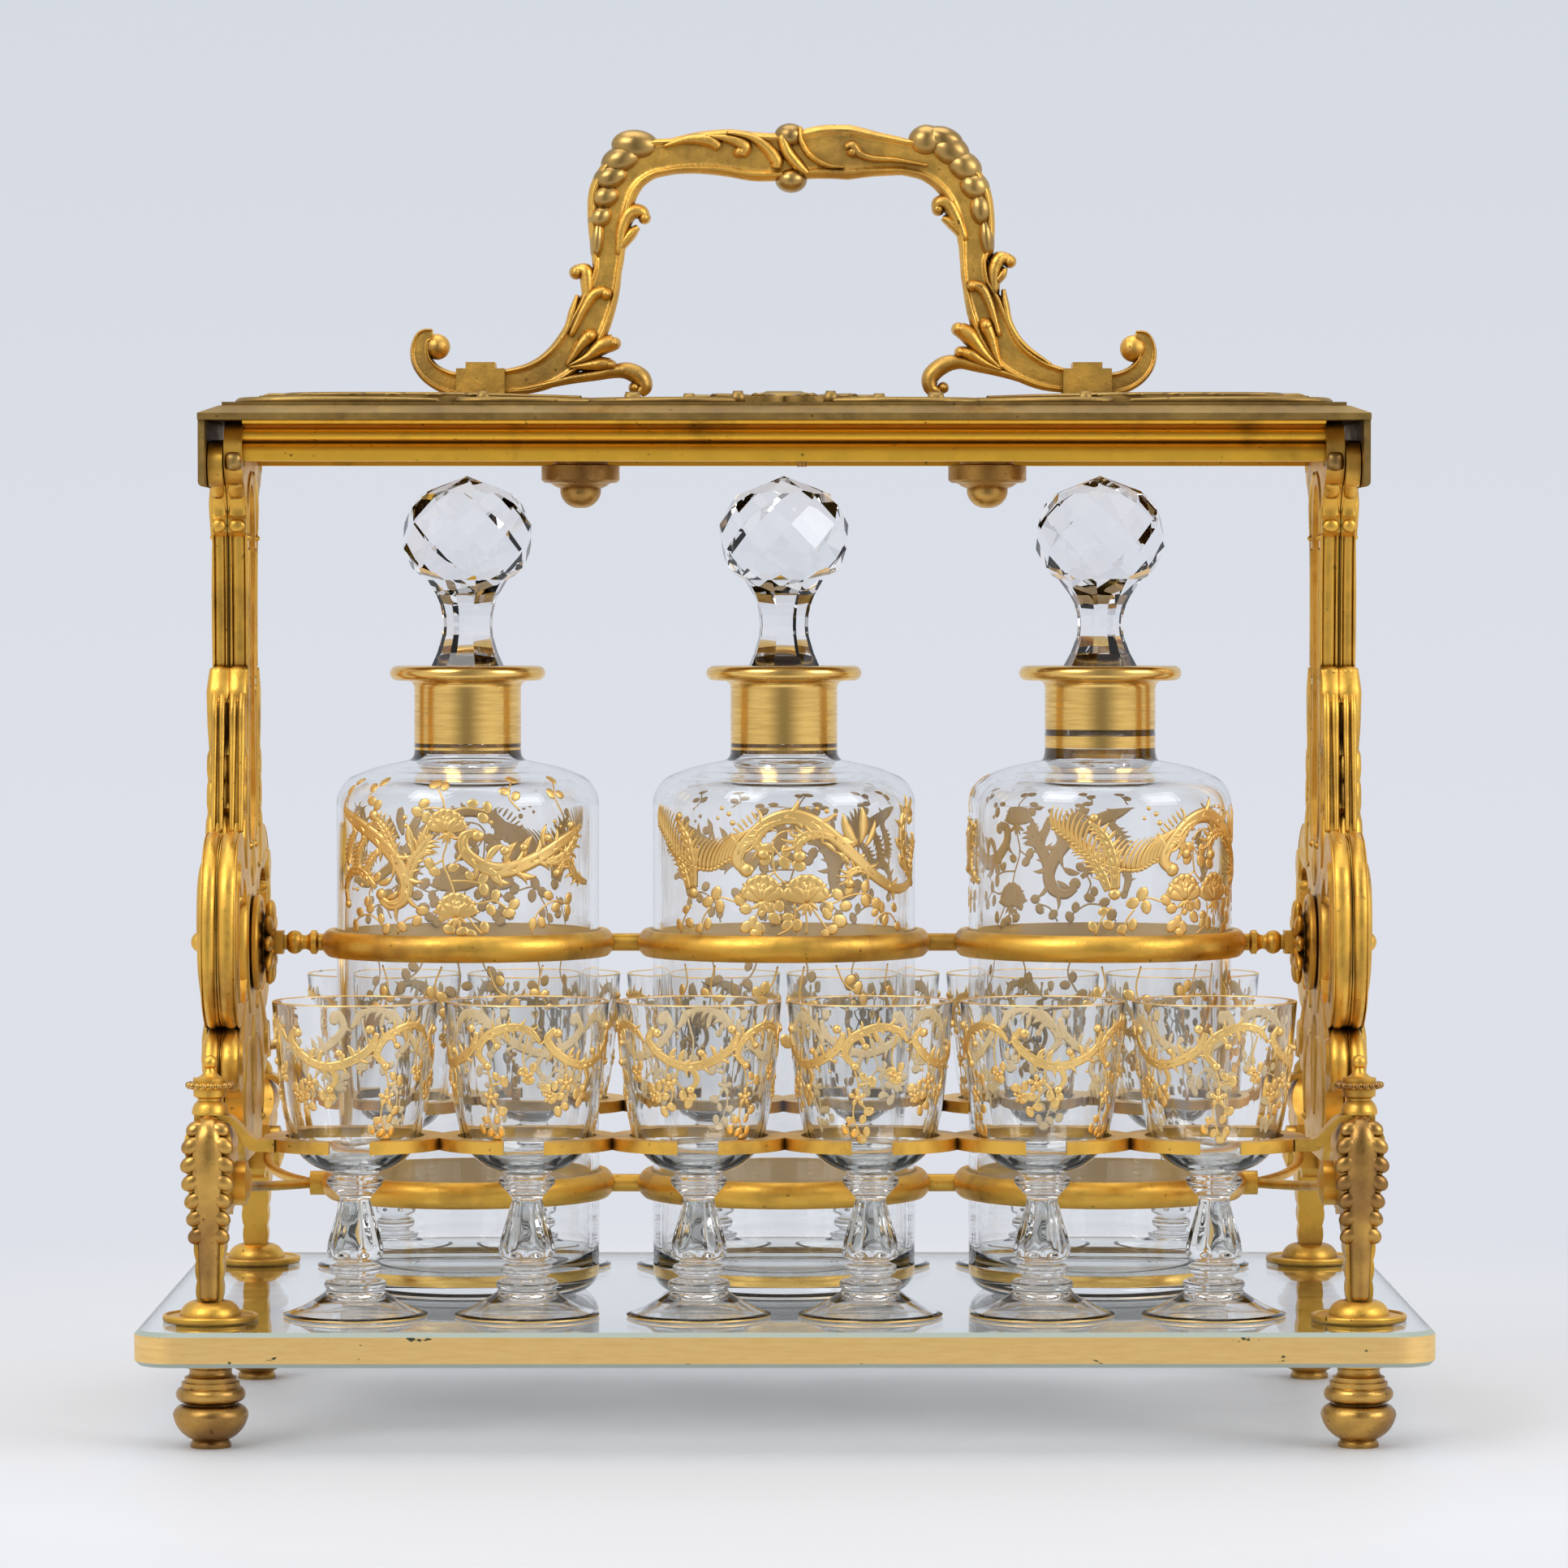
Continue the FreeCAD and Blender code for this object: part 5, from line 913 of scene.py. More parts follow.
def makeGlasses():
    profile = liqueurProfile()
    bowl = curveThrough(liqueur["goldWall"], 30)
    lines = panelLines(bowlPanel)
    rimLow = liqueur["bottom"] + liqueur["rimGold"]
    footLow, footHigh = (liqueur["bottom"] + rise for rise in liqueur["footGold"][:2])
    for name, x, y, index in glassPlaces():
        grid = turnedGrid(profile, liqueur["segments"], x, y, opticRibs)
        piece = meshFromGrids(name + "_blown", [grid], finishes["glass"], name + "_body",
                              capped=False)
        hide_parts(name)

        def gilt(middle, normal):
            reach = np.hypot(middle[0] - x, middle[1] - y)
            onFoot = (middle[2] < footHigh) & (middle[2] > footLow) & (reach > liqueur["footGold"][2])
            return (middle[2] > rimLow) | onFoot
        paint(piece, finishes["edgeGold"], gilt)
        grids = []
        for third in liqueur["thirds"]:
            ground = wallGround(bowl, bowl[:, 1], x, y, liqueur["girth"], liqueur["turns"][index] + third,
                                opticRibs)
            grids += strokeGrids(lines, ground)
        gold = meshFromGrids(name + "_gold", grids, finishes["enamel"], name + "_body")
        paint(gold, finishes["paleBack"], facingAxis(x, y))


makeGlasses()
print("glasses blown")


# cast pieces in the round
def sideName(side):
    return "left" if side < 0 else "right"


# outlines across a bar, as shares of its half width and of its half thickness: the first is an oval,
# the second is flat in the middle with a rounded rim along each side
def outlineAcross(count, edge=1.0, rimAt=0.0, rimWidth=1.0, floor=1.0):
    angle = np.linspace(0, 2 * np.pi, count, endpoint=False)
    across = np.cos(angle)
    rim = np.exp(-((np.abs(across) - rimAt) / rimWidth) ** 2)
    return across, np.sign(np.sin(angle)) * np.abs(np.sin(angle)) ** edge * (floor + (1 - floor) * rim)


outlines = {"round": outlineAcross(14), "rimmed": outlineAcross(52, 0.34, 0.78, 0.13, 0.60),
            "pillow": outlineAcross(18, 0.55)}


# a bar follows a curve in (u, v), and its rings are the outline made as wide and thick as it is there
def barGrid(points, widths, depths, outline, ground, step=1.0):
    controls = np.asarray(points, float)
    length = np.linalg.norm(np.diff(controls, axis=0), axis=1).sum()
    path = curveThrough(controls, max(7, int(length / step)))
    share = np.linspace(0, 1, len(path))
    width, depth = (np.interp(share, np.linspace(0, 1, len(values)), values)[:, None]
                    for values in (widths, depths))
    ahead = np.gradient(path, axis=0)
    ahead /= np.linalg.norm(ahead, axis=1)[:, None]
    across, rise = outlines[outline]
    u = path[:, :1] - ahead[:, 1:] * width * across
    v = path[:, 1:] + ahead[:, :1] * width * across
    return ground(u, v, depth * rise) * mm


# an egg: a bar as long as its long half axis, swelling as a circle does
def eggGrid(u, v, long, wide, thick, heading, ground):
    along = np.cos(np.radians(np.linspace(174, 6, 13)))
    turn = math.radians(heading)
    points = [(u + long * t * math.cos(turn), v + long * t * math.sin(turn)) for t in along]
    swell = np.sqrt(1 - along ** 2)
    return barGrid(points, wide * swell, thick * swell, "round", ground, step=long / 9)


# handle
# x, z, half width and half thickness along the whole bar, from the eye of one scroll to the other
handle = {
    "step": 0.8,
    "bar": ((-107.6, 331.6, 1.8, 3.6), (-110.6, 330.6, 2.6, 3.8), (-111.7, 326.8, 3.1, 4),
            (-110.8, 322.6, 3.3, 4.2), (-107.2, 318.8, 3.5, 4.2), (-101.2, 316.3, 3.8, 4.2),
            (-93.5, 316, 3.9, 4.2), (-85.1, 317, 4, 4.3), (-77.6, 318.3, 4.7, 4.3),
            (-71.2, 321.2, 5.4, 4.3), (-65.2, 326.4, 6.2, 4.3), (-60.2, 334, 6.6, 4.3),
            (-56.4, 343.2, 5.6, 4.3), (-54.3, 351.2, 4.5, 4.3), (-54, 359.2, 5.6, 4.4),
            (-53.7, 367, 6.6, 4.5), (-52.6, 374.5, 7.4, 4.5), (-48.8, 381, 7.2, 4.5),
            (-42.2, 384.9, 6.2, 4.5), (-34, 386.2, 5.5, 4.5), (-26, 387.2, 6.4, 4.5),
            (-17, 387.2, 7.3, 4.5), (-8, 386, 7.5, 4.5), (2, 386.2, 7.2, 4.5), (12, 387.5, 8.2, 4.5),
            (20, 387.4, 8.4, 4.5), (28.5, 386.8, 6.8, 4.5), (37, 386, 5.6, 4.5), (45, 384.6, 6.4, 4.5),
            (51.8, 380.6, 7.2, 4.5), (56.3, 374.5, 7.2, 4.5), (58.3, 367.4, 6.4, 4.5),
            (58.9, 360, 5.6, 4.4), (58.3, 353.4, 4.2, 4.3), (59.2, 346.8, 4.4, 4.3),
            (61.6, 340.4, 5.9, 4.3), (64.8, 332.2, 6.4, 4.3), (69.6, 325, 5.6, 4.3),
            (77.9, 319.7, 4.6, 4.3), (86.3, 317.4, 3.7, 4.3), (94, 316.2, 3.6, 4.2),
            (101.8, 316.5, 3.6, 4.2), (107.2, 318.6, 3.4, 4.2), (110.6, 322.2, 3.2, 4.2),
            (111.6, 326.4, 2.9, 4), (110.6, 330.2, 2.4, 3.8), (107.8, 331.2, 1.7, 3.6)),
    # oval bars in the round: points, half widths and half thicknesses
    "leaves": (
        (((-50.8, 355.9), (-49.7, 363.9), (-47.3, 368.8), (-43.6, 369), (-42.4, 366.6)),
         (1.4, 2.4, 2.6, 2.2, 1.2), (3.6, 4.2, 4.4, 4, 3)),
        (((-50.2, 358.4), (-47, 362.4), (-44.8, 364.6)), (1.6, 1.9, 1), (3.4, 3.8, 3)),
        (((-60.2, 340.5), (-60.2, 346.6), (-60.9, 351), (-64.4, 351.4)), (1.6, 2.3, 2.5, 1.4),
         (3.6, 4.2, 4.2, 3)),
        (((-69.6, 328.2), (-66.6, 332.8), (-64.8, 338.6), (-63.4, 343.6)), (0.8, 1.3, 1.4, 0.7),
         (3, 3.8, 3.8, 3)),
        (((-65.4, 331), (-61.8, 338.4), (-58.4, 343.6), (-54.6, 344.8)), (1.2, 1.8, 2.2, 2),
         (4.4, 4.9, 5.2, 5)),
        (((-66.7, 321.9), (-64.6, 324.8), (-62.4, 328.2), (-59.8, 331)), (0.8, 1.5, 2.2, 2.8),
         (4.2, 4.8, 5.2, 5.4)),
        (((-66.2, 321.8), (-60.4, 324.6), (-56.2, 328), (-52.2, 329.2)), (0.8, 2, 3, 2.6),
         (4.2, 4.8, 5.4, 5)),
        (((-66, 321.4), (-60.4, 322), (-56.4, 322.4), (-53.2, 322.4)), (0.6, 1.9, 2.5, 2),
         (4.2, 4.8, 5.2, 4.6)),
        (((-84, 314.2), (-74, 316), (-66, 317.9), (-58, 319.2), (-51.8, 320.4), (-47.8, 320.4),
          (-44.1, 318.4), (-43, 315.6), (-44.6, 313.7)), (0.6, 1.2, 1.6, 1.8, 2.2, 2.7, 3, 2.6, 1.8),
         (3.4, 3.8, 3.8, 3.8, 3.8, 4, 4, 3.8, 3.4)),
        (((55.8, 360.3), (53.1, 366.6), (50.4, 371.6), (47.4, 371.8), (46.6, 369.2)),
         (1.4, 2.4, 2.6, 2.2, 1.2), (3.6, 4.2, 4.4, 4, 3)),
        (((55, 362), (51.4, 365.8), (48.6, 367.4)), (1.6, 1.9, 1), (3.4, 3.8, 3)),
        (((64.6, 344), (64.4, 350.6), (66, 354.6), (69.6, 354.8)), (1.6, 2.4, 2.6, 1.5),
         (3.6, 4.2, 4.2, 3)),
        (((64.8, 347.4), (67, 350), (68, 352)), (1.3, 1.5, 0.8), (3.4, 3.8, 3)),
        (((82, 322.2), (73.7, 328.2), (69.3, 334.6), (67.9, 340.8), (67.4, 345.4)),
         (0.7, 1.1, 1.3, 1.4, 0.7), (3, 3.8, 3.8, 3.8, 3)),
        (((66, 331), (63.6, 339.4), (61, 345.2), (57.6, 346.9)), (1.2, 1.8, 2.2, 1.9),
         (4.4, 4.9, 5.2, 5)),
        (((66.8, 320.8), (65, 325.4), (63.6, 330.4), (62, 334)), (0.8, 1.6, 2.2, 2.7),
         (4.2, 4.8, 5.2, 5.4)),
        (((66.8, 320.8), (61.4, 325.6), (57.2, 331), (53.8, 333.3)), (0.8, 2.2, 3, 2.4),
         (4.2, 4.8, 5.4, 5)),
        (((66.6, 320.6), (61.4, 322.8), (57.6, 325.2), (54.2, 326.4)), (0.6, 1.9, 2.3, 1.8),
         (4.2, 4.8, 5.2, 4.6)),
        (((78, 315.8), (68.5, 319.4), (58.7, 322), (53.8, 323.2), (49, 322.2), (45.1, 318.8),
          (45.2, 315.2), (48, 313.8)), (0.6, 1.3, 1.8, 2.2, 2.7, 2.7, 2.3, 1.6),
         (3.4, 3.8, 3.8, 3.8, 4, 4, 3.8, 3.4)),
        (((-17.6, 393.2), (-10.2, 391.8), (-5.2, 388.5), (-2.3, 384.8), (-2.4, 382.4)),
         (0.8, 1.6, 2.3, 2.7, 1.9), (4.6, 5, 5.3, 5.4, 5)),
        (((-37, 389), (-30, 391), (-23.2, 390.8), (-19.8, 388.8)), (0.7, 1.7, 2.6, 2),
         (4.6, 5.1, 5.3, 5)),
        (((-24, 392.2), (-16.4, 391.2), (-12, 389), (-13.2, 386.4)), (0.7, 2, 2.8, 2.1),
         (4.6, 5.1, 5.3, 5)),
        (((-0.9, 392.4), (1, 387.4), (4.4, 383.2), (7.4, 380.6)), (2, 2.5, 2.4, 1.4),
         (5, 5.8, 5.6, 4.8)),
        (((4.9, 395), (5.2, 390.8), (7.8, 386.4), (13.2, 383.2), (18.4, 382.6)), (0.8, 1.2, 1.3, 1.1, 0.5),
         (4.8, 5.4, 5.4, 5.2, 4.7)),
        (((44, 383.2), (34.4, 384.8), (27.2, 385.3), (23.2, 386.7), (21, 389.4), (18.8, 388.6)),
         (0.6, 1.1, 1.4, 1.7, 1.9, 1.2), (4.6, 5, 5.1, 5.2, 5.2, 4.8)),
    ),
    # eggs: centre, half length, half width, half thickness and heading
    "bulbs": ((-106.5, 327.8, 4, 4, 4.4, 0), (107.4, 327.3, 4.2, 4.2, 4.4, 0), (-42.8, 367.3, 2, 2, 3.8, 0),
              (47.3, 369.9, 2, 2, 3.8, 0), (-63.8, 350.6, 2.2, 2.2, 3.8, 0), (69.3, 354, 2.1, 2.1, 3.8, 0),
              (-54.6, 343.9, 2.3, 2.3, 5.6, 0), (57.7, 346.4, 2.2, 2.2, 5.6, 0),
              (-59.6, 331, 2.9, 2.5, 5.8, 50), (62, 334.2, 2.9, 2.5, 5.8, 110),
              (-52.1, 328.8, 2.1, 2.1, 5.6, 0), (53.5, 333.2, 2.2, 2.2, 5.6, 0),
              (-53.3, 322.2, 2, 1.8, 5.4, 0), (54.1, 326.2, 1.8, 1.8, 5.4, 0),
              (-45.9, 315.3, 1.9, 1.8, 4.2, 0), (48.9, 315.3, 1.8, 1.8, 4.2, 0),
              (21, 387.3, 2.3, 2.1, 5.3, 0), (-13.6, 387.4, 2.6, 2.2, 5.3, 30)),
    "lobes": ((-45.6, 389.4, 7.4, 5, 5.2, -4), (-49.8, 385, 6.6, 4.6, 5.4, 20),
              (-53, 379.6, 5.9, 4.4, 5.4, 22), (-54.8, 373.6, 5.1, 4.2, 5.3, 20),
              (-56.2, 367.4, 4.6, 3.8, 5.3, 50), (-57.2, 360.6, 7, 2.4, 5, 86),
              (43.6, 390.8, 5.6, 5.2, 5.2, 10), (48.8, 391.4, 6.4, 4, 5.1, -16),
              (50.8, 387.8, 6.6, 5.2, 5.4, -28), (55.2, 382.8, 5.9, 4.9, 5.4, -30),
              (58.2, 376.8, 5.3, 4.7, 5.4, -36), (60.2, 369.8, 5.8, 3.9, 5.3, 96),
              (62, 361.2, 6.8, 2.6, 5, 96), (1.8, 392.4, 4.8, 4, 5.6, 0), (2.2, 378.9, 4.9, 3.9, 5.6, 0)),
}


def makeHandle():
    ground = flatGround((0, 0, 0), (1, 0, 0), (0, 0, 1), (0, -1, 0))
    bar = np.asarray(handle["bar"])
    grids = [barGrid(bar[:, :2], bar[:, 2], bar[:, 3], "rimmed", ground, handle["step"])]
    grids += [barGrid(*leafBar, "round", ground) for leafBar in handle["leaves"]]
    grids += [eggGrid(*egg, ground) for egg in handle["bulbs"]]
    piece = meshFromGrids("handle_cast", grids, finishes["handle"], "lid_frame")
    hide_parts("handle")
    lobes = [eggGrid(*egg, ground) for egg in handle["lobes"]]
    meshFromGrids("handle_lobes", lobes, finishes["rubbed"], "lid_frame")


makeHandle()
print("handle cast")


# ground along a cast piece's edge, which is a curve in (y, z): u runs across it in x, v is the way
# along it, and height goes out square to it; side and front mirror it in x and in y
def edgeGround(points, x, side, front):
    path = curveThrough(points, 12 * len(points))
    way = np.concatenate([[0.0], np.cumsum(np.linalg.norm(np.diff(path, axis=0), axis=1))])
    slope = np.gradient(path, axis=0)
    slope /= np.linalg.norm(slope, axis=1)[:, None]

    def place(u, v, height):
        y, z, outY, outZ = (np.interp(v, way, column)
                            for column in (path[:, 0], path[:, 1], slope[:, 1], -slope[:, 0]))
        return np.stack([side * (x + u), front * (y + height * outY), z + height * outZ], -1)
    return place, way[-1]


# frame castings
# each row of "edges": points (y, z) down the front edge, then raised bands as the share of the half
# thickness they lie at, their half widths along the way as shares of it, and their lift. Leaves are
# widened by "widen", and "clear" keeps what lies on a face just above it
casting = {
    "halves": {"inner": {"x": 166.1, "half": 2.85, "out": -1, "relief": 0.16, "body": "lid_frame"},
               "outer": {"x": 171.75, "half": 2.35, "out": 1, "relief": 0.45, "body": "stand"}},
    "widen": 1.3, "clear": 0.1, "eyeLift": 0.9, "bandEnd": 0.15, "barrelEnd": 0.995, "barrelRows": 15,
    "edges": (
        {"path": ((-28.5, 285.6), (-26, 283.4), (-23.6, 281.4)), "bands": ((0, (0.7, 0.98, 0.7), 1),)},
        {"path": ((-23.4, 281.6), (-21.2, 278), (-21, 274.6)),
         "bands": ((0, (0.95, 0.9, 0.95), 0.45),)},
        {"path": ((-21.6, 274.4), (-22.2, 272.7), (-21.2, 270.9)), "bands": ((0, (0.6, 1, 0.6), 1),)},
        {"path": ((-18.9, 270.6), (-17.7, 263), (-17.1, 254), (-16.6, 241), (-16.3, 229.6)),
         "bands": ((0.84, (0.16, 0.16, 0.18), 1.1), (-0.80, (0.14, 0.14, 0.16), 1.1),
                   (0.03, (0.68, 0.68, 0.68), 0.55))},
        {"path": ((-18.4, 229.6), (-19.4, 227), (-19.6, 224.2)), "bands": ((0, (0.8, 0.98, 0.8), 1),)},
        {"path": ((-20.8, 223), (-24.2, 217), (-25, 209), (-26.2, 201), (-27, 193),
                  (-28.2, 185), (-28.8, 179.6)),
         "bands": ((0.50, (0.44, 0.42, 0.36, 0.3), 1.2), (-0.46, (0.46, 0.42, 0.36, 0.3), 1.1))},
        {"path": ((-34, 178.8), (-44, 178.6), (-51.5, 175.6), (-58.2, 168.6), (-61.8, 159),
                  (-62.7, 148), (-61.9, 138), (-58.4, 129.6), (-51, 123.9), (-44.6, 122.2)),
         "bands": ((0, (0.5, 0.88, 0.96, 0.98, 0.98, 0.96, 0.92, 0.86, 0.75, 0.5), 1.5),
                   (0.82, (0.1, 0.14, 0.16, 0.16, 0.16, 0.16, 0.12, 0.1), 1.1))},
        {"path": ((-45, 120.6), (-50.2, 117.2), (-53.2, 111.6), (-51.4, 105.8), (-45, 103.1)),
         "bands": ((0, (0.6, 0.95, 1, 0.95, 0.6), 1.5),)},
    ),
    # a long leaf's body down the edge between its tips: points (y, z), half widths
    "body": (((-16.8, 225), (-20.6, 218), (-21.4, 210), (-22.6, 202), (-23.6, 194), (-24.8, 186),
              (-25.4, 178.6)), (2.2, 3.4, 3.5, 3.5, 3.4, 3.4, 3.2)),
    # barrels across the edge at (y, z), with radius
    "barrels": ((-33.9, 292.2, 3.3), (-47.4, 112, 5.2)),
    # bars that stand a little proud of the face: points (y, z), half widths
    "leaves": (
        (((-17.5, 229), (-19.4, 222), (-20.4, 212), (-20.4, 201)), (1.4, 2.8, 2.2, 0.9)),
        (((-19.6, 205), (-22.6, 202.6), (-24, 198), (-22, 191)), (0.9, 2, 2, 0.8)),
        (((-20.6, 197), (-23.6, 193.4), (-24.4, 188), (-21.6, 180)), (0.9, 2, 2, 0.8)),
        (((-20.4, 188), (-25, 182.4), (-26.6, 176), (-24, 167)), (0.9, 2.4, 2.4, 0.9)),
        (((-12.4, 266), (-12, 252), (-11, 238), (-10.8, 226)), (0.9, 1.2, 1.2, 0.9)),
        (((-11, 224), (-13.6, 206), (-14.8, 192), (-12.6, 180), (-8, 175.6)),
         (0.9, 1.2, 1.3, 1.3, 0.9)),
        (((-4, 289), (-12, 286), (-16.6, 279), (-15.6, 270)), (0.9, 1.6, 1.8, 1)),
        (((-8, 298), (-18, 296.6), (-26, 295), (-31, 291)), (0.8, 1.6, 1.8, 1.2)),
        (((-20, 168), (-34, 167.6), (-46, 169.4), (-54, 163.6), (-57.4, 152), (-56, 139),
          (-49, 129.6)), (1, 1.6, 2.2, 2.4, 2.2, 1.8, 1)),
        (((-16, 160), (-21, 154), (-22.4, 145), (-20, 134), (-12, 124)),
         (0.9, 1.6, 1.8, 1.6, 0.9)),
        (((-22, 128), (-31, 124.6), (-40, 117.6), (-45.4, 110.6)), (0.8, 1.8, 2.4, 1.4)),
        (((-10, 116), (-20, 115), (-29, 109), (-33, 100), (-31, 90)),
         (0.8, 1.6, 1.9, 1.7, 0.9)),
        (((0, 176), (-3.6, 168), (0, 162.6)), (1, 2.4, 1)),
        (((0, 122), (-4.6, 112), (-3, 100), (0, 92)), (1, 2.8, 2.2, 0.8)),
    ),
    "eyes": ((-48, 112.2, 3), (-44.8, 160, 2.4), (-31.4, 88.6, 2), (-15, 269.2, 1.7), (-8, 174.8, 1.8)),
}


def makeCasting(name, half, side):
    proud = half["half"] + casting["clear"]
    worn, grids = [], []
    for turn in (1, -1):
        ground = flatGround((side * half["x"], 0, 0), (0, turn, 0), (0, 0, 1), (side, 0, 0))
        for points, widths in casting["leaves"]:
            wide = [casting["widen"] * width for width in widths]
            depths = [proud + half["relief"] * width for width in wide]
            grids.append(barGrid(points, wide, depths, "pillow", ground))
        points, widths = casting["body"]
        grids.append(barGrid(points, widths, [half["half"]] * len(widths), "pillow", ground))
        for y, z, radius in casting["eyes"]:
            grids.append(eggGrid(y, z, radius, radius, proud + casting["eyeLift"], 0, ground))
        for y, z, radius in casting["barrels"]:
            along = np.linspace(-casting["barrelEnd"], casting["barrelEnd"], casting["barrelRows"])
            widths = radius * np.sqrt(1 - along ** 2)
            depths = half["half"] * (1 - along ** 8) ** 0.5
            points = [(y, z + radius * t) for t in along]
            worn.append(barGrid(points, widths, depths, "pillow", ground, radius / 7))
    for front in (1, -1):
        for edge in casting["edges"]:
            ground, length = edgeGround(edge["path"], half["x"], side, front)
            for shift, widths, lift in edge["bands"]:
                place = shift * half["half"] * half["out"]
                ways = (casting["bandEnd"], length / 2, length - casting["bandEnd"])
                line = stroke([(place, way) for way in ways], [share * half["half"] for share in widths],
                              lift)
                grids.append(strokeGrid(line, ground))
    for part, found, finish in (("relief", grids, "cast"), ("knuckles", worn, "rubbed")):
        meshFromGrids("%s_casting_%s_%s" % (name, part, sideName(side)), found, finishes[finish],
                      half["body"])


for side in (-1, 1):
    for name, half in casting["halves"].items():
        makeCasting(name, half, side)
print("castings dressed")


# legs
# down the front of a leg: (y, z), and the half width there. The front pair has egg lobes along both
# edges, each with its half length, half width and lift; the rear pair has two cords round its foot
leg = {"x": 169.5,
       "path": ((-79, 96.6), (-84.6, 96.5), (-88.2, 92.4), (-88.9, 86), (-88, 76.3), (-86.2, 68),
                (-84.7, 60.3), (-83.9, 52), (-83.6, 43.6)),
       "widths": (3.4, 4.6, 6.4, 6.5, 5.4, 4.8, 4.3, 3.9, 3.6), "end": 0.3, "dome": 2.1, "domeShare": 0.74,
       "lobes": 7, "lobeFrom": 8.5, "lobeTo": 41, "lobe": (3.3, 2.5, 1.9), "lobeIn": 1.5, "lobeTurn": 32,
       "cords": (34, 30.6), "cordHalf": 4.9, "cordSag": 0.6, "cordWidths": (1.1, 1.3, 1.1), "cordLift": 2.2}


def makeLeg(side, front):
    ground, length = edgeGround(leg["path"], leg["x"], side, 1 if front else -1)
    share = np.linspace(0, 1, len(leg["widths"]))
    lines = [stroke([(0.0, way) for way in (leg["end"], length / 2, length - leg["end"])],
                    [width * leg["domeShare"] for width in leg["widths"]], leg["dome"])]
    grids = []
    if front:
        for place in np.linspace(leg["lobeFrom"], leg["lobeTo"], leg["lobes"]):
            width = np.interp(place / length, share, leg["widths"])
            for edge, heading in ((1, leg["lobeTurn"]), (-1, 180 - leg["lobeTurn"])):
                grids.append(eggGrid(edge * (width - leg["lobeIn"]), place, *leg["lobe"], heading, ground))
    else:
        for up in leg["cords"]:
            place, half = length - up, leg["cordHalf"]
            lines.append(stroke([(-half, place), (0.0, place + leg["cordSag"]), (half, place)],
                                leg["cordWidths"], leg["cordLift"]))
    grids += strokeGrids(lines, ground)
    meshFromGrids("leg_relief_%s_%s" % ("front" if front else "rear", sideName(side)), grids,
                  finishes["worn" if front else "cast"], "stand")


for side in (-1, 1):
    for front in (True, False):
        makeLeg(side, front)
print("legs dressed")


# small round ornament on the stand
# two rings of petals on a rosette, each with its reach, half length and half width; beads round a finial
rosette = {"x": 158.0, "z": 144.8, "petals": 10, "rings": ((8.8, 4.6, 2.5), (4.6, 2.2, 1.3)), "lift": 1.5}
finial = {"x": 169.5, "y": 80.0, "z": 107.0, "reach": 6.3, "bead": 1.0, "count": 18}


def makeRosette(side):
    ground = flatGround((side * rosette["x"], 0, rosette["z"]), (0, 1, 0), (0, 0, 1), (-side, 0, 0))
    grids = []
    for index in range(rosette["petals"]):
        angle = 360 * index / rosette["petals"]
        turn = math.radians(angle)
        for reach, long, wide in rosette["rings"]:
            grids.append(eggGrid(reach * math.cos(turn), reach * math.sin(turn), long, wide,
                                 rosette["lift"], angle, ground))
    meshFromGrids("rosette_petals_" + sideName(side), grids, finishes["cast"], "stand")


def makeFinialBeads():
    grids = []
    for x in (-finial["x"], finial["x"]):
        for y in (-finial["y"], finial["y"]):
            flat = flatGround((x, y, finial["z"]), (1, 0, 0), (0, 1, 0), (0, 0, 1))
            for index in range(finial["count"]):
                turn = 2 * math.pi * index / finial["count"]
                grids.append(eggGrid(finial["reach"] * math.cos(turn), finial["reach"] * math.sin(turn),
                                     *(finial["bead"],) * 3, 0, flat))
    meshFromGrids("finial_beads", grids, finishes["worn"], "stand")


for side in (-1, 1):
    makeRosette(side)
makeFinialBeads()
print("rosettes and finials dressed")


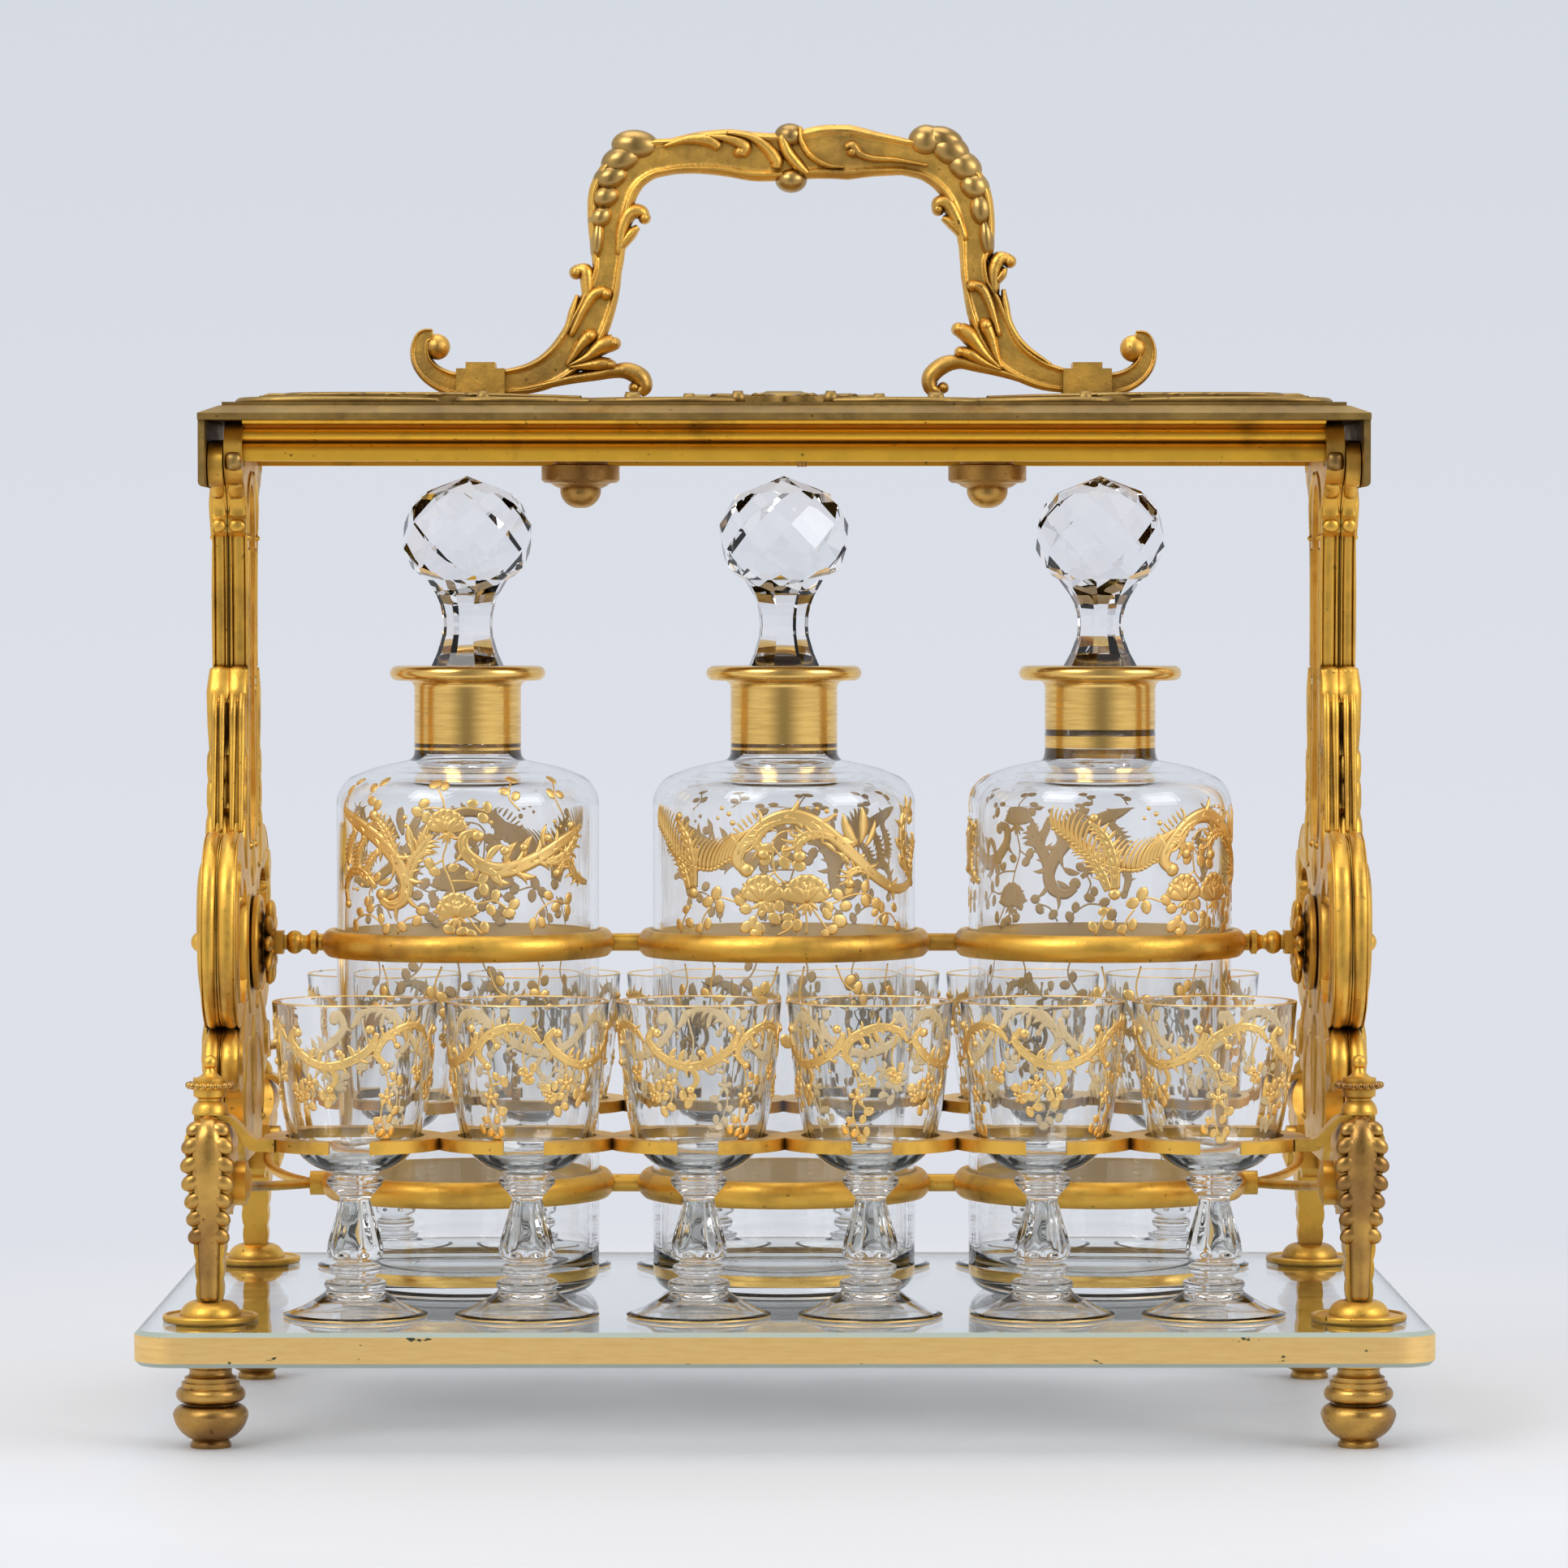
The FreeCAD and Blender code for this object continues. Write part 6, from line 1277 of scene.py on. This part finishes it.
# lid
# one quarter of the raised work on the lid's top, in x and y from its middle; the rest mirrors it.
# "veins" and "barbs" lie on the leafy mounts, and the shell has a flute on each of its lobes
lid = {"top": 309.6, "mountTop": 311.9, "squeeze": 0.72, "groove": 0.35, "eyeLift": 3.6, "scrolls": (
    (((14, 44), (30, 50), (48, 46), (58, 36), (54, 27), (45, 28), (44, 35)),
     (1.4, 2.4, 2.8, 2.6, 2.4, 2, 1.4), 1.9),
    (((58, 37), (70, 46), (84, 50.5), (95, 48.5), (97, 43.5), (92, 40.5), (87, 42.5)),
     (1.2, 2.2, 2.4, 2.4, 2.2, 1.8, 1.2), 1.9),
    (((104, 50.5), (120, 51.6), (146, 51.4), (160, 44.4), (164.5, 30.5), (162, 16.7), (156, 9.7), (150, 12)),
     (0.8, 1.3, 1.5, 2, 2.4, 2.4, 2, 1.2), 2),
    (((14, 20), (24, 27), (36, 24), (40, 15), (33, 10), (28, 14)), (1.2, 2, 2.4, 2.2, 1.8, 1.2), 1.8)),
    "leaves": ((34, 48, 14, 3.2, -62, 1.6, 0.15), (44, 46, 13, 3, -96, 1.6, 0.1),
               (70, 45, 11, 2.6, -70, 1.5, 0.12), (78, 48, 10, 2.4, -84, 1.5, 0.1),
               (22, 26, 10, 2.4, 52, 1.4, 0.1), (30, 26, 10, 2.4, 78, 1.4, -0.1),
               (58, 14, 14, 3, 200, 1.5, 0.1), (58, 10, 12, 2.6, 222, 1.5, -0.1)),
    "eyes": ((46, 33, 2.8), (91, 43, 2.2), (153, 12.5, 2.6), (29, 15, 2.4), (14, 44, 2.2)),
    "veins": ((((62, 11.4), (80, 21), (97, 26), (115, 29), (132, 29.6), (146, 26.4), (150, 19), (143, 13)),
               (0.6, 1, 1.5, 1.9, 2.3, 2.6, 2.4, 1.4), 1.2),),
    "barbs": ((90, 24.4, 7, 1.1, 34, 0.9, 0.1), (102, 27.5, 8, 1.3, 36, 0.9, 0.1),
              (114, 29, 8, 1.4, 36, 0.9, 0.1), (126, 30, 8, 1.5, 34, 0.9, 0.1),
              (139, 29, 8, 1.6, 30, 0.9, -0.1), (149, 23, 9, 1.7, 6, 0.9, -0.1),
              (104, 27, 8, 1, -16, 0.9, 0.1), (118, 28, 8, 1.1, -24, 0.9, 0.1)),
    "shell": {"across": 28.8, "deep": 24.3, "lobes": 12, "boss": 7, "bossLift": 2.4,
              "reaches": (0.3, 0.5, 0.75, 0.93, 1.03), "widths": (0.7, 1.7, 3, 3.6, 2.6), "lift": 1.2}}


def shellLines(shell):
    lines = [blob(0, 0, shell["boss"], shell["bossLift"])]
    for index in range(shell["lobes"]):
        turn = 2 * math.pi * (index + 0.5) / shell["lobes"]
        row = [(shell["across"] * reach * math.cos(turn), shell["deep"] * reach * math.sin(turn))
               for reach in shell["reaches"]]
        lines.append(stroke(row, shell["widths"], shell["lift"], lid["groove"]))
    return lines


# ground on the lid at a height; the signs of sideX and sideY mirror it, and a smaller sideY squeezes it
def lidGround(level, sideX, sideY):
    return flatGround((0, 0, level), (sideX, 0, 0), (0, sideY, 0), (0, 0, 1))


def makeLid():
    grids = strokeGrids(shellLines(lid["shell"]), lidGround(lid["mountTop"], 1, 1))
    scrolls, veins = ([stroke(points, widths, lift, lid["groove"]) for points, widths, lift in lid[part]]
                      for part in ("scrolls", "veins"))
    leaves, barbs = ([leaf(*values) for values in lid[part]] for part in ("leaves", "barbs"))
    eyes = [blob(u, v, radius, lid["eyeLift"]) for u, v, radius in lid["eyes"]]
    for sideX in (1, -1):
        for sideY in (1, -1):
            grids += strokeGrids(scrolls + leaves + eyes,
                                 lidGround(lid["top"], sideX, sideY * lid["squeeze"]))
            grids += strokeGrids(veins + barbs, lidGround(lid["mountTop"], sideX, sideY))
    meshFromGrids("lid_relief", grids, finishes["lid"], "lid_frame")


makeLid()
print("lid dressed")


# finishes on the carried-over pieces
dressed = {"lid_plate": "lid", "lid_mounts": "lid", "lid_apron_": "lid", "handle": "handle",
           "rail_": "rail", "bun_foot": "worn", "lid_knobs": "worn", "lid_screws": "worn",
           "base_plate": "plate", "stopper": "stopper"}


# the plate's sides lie beyond "sides" in x and y, with normals whose z is under "upright"; the normals of its
# bevels lie between that and "level"
plate = {"sides": (186, 107), "upright": 0.3, "level": 0.95}


def plateSides(middle, normal):
    outside = (np.abs(middle[0]) > plate["sides"][0]) | (np.abs(middle[1]) > plate["sides"][1])
    return (np.abs(normal[2]) < plate["upright"]) & outside


def plateBevels(middle, normal):
    return (np.abs(normal[2]) > plate["upright"]) & (np.abs(normal[2]) < plate["level"])


def dressNodes():
    for name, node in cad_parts.items():
        finish = "cast"
        for start, chosen in dressed.items():
            if name.startswith(start):
                finish = chosen
        node.data.materials.clear()
        node.data.materials.append(finishes[finish])
    paint(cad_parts["base_plate"], finishes["edgeGold"], plateSides)
    # painted light: the bevels get the pale green-grey finish
    paint(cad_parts["base_plate"], finishes["bevelLight"], plateBevels)
    # painted light: the rings' inner walls get the lighter matt gold seen from behind
    for holder in ("upper_ring_holder", "lower_ring_holder"):
        paint(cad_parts[holder], finishes["goldBackAndRingLight"], ringInside)


# the rings' inner walls, seen through the decanters, lie within "ringReach" of each decanter's wall; they get
# the lighter matt gold as painted light in place of the dark reflection there
ringReach = 4


def ringInside(middle, normal):
    pitch = decanters["right"]["x"]
    x = pitch * np.clip(np.round(middle[0] / pitch), -1, 1)
    near = np.hypot(middle[0] - x, middle[1]) < decanter["wall"] + ringReach
    return facingAxis(x, 0)(middle, normal) & near


dressNodes()
print("nodes dressed")
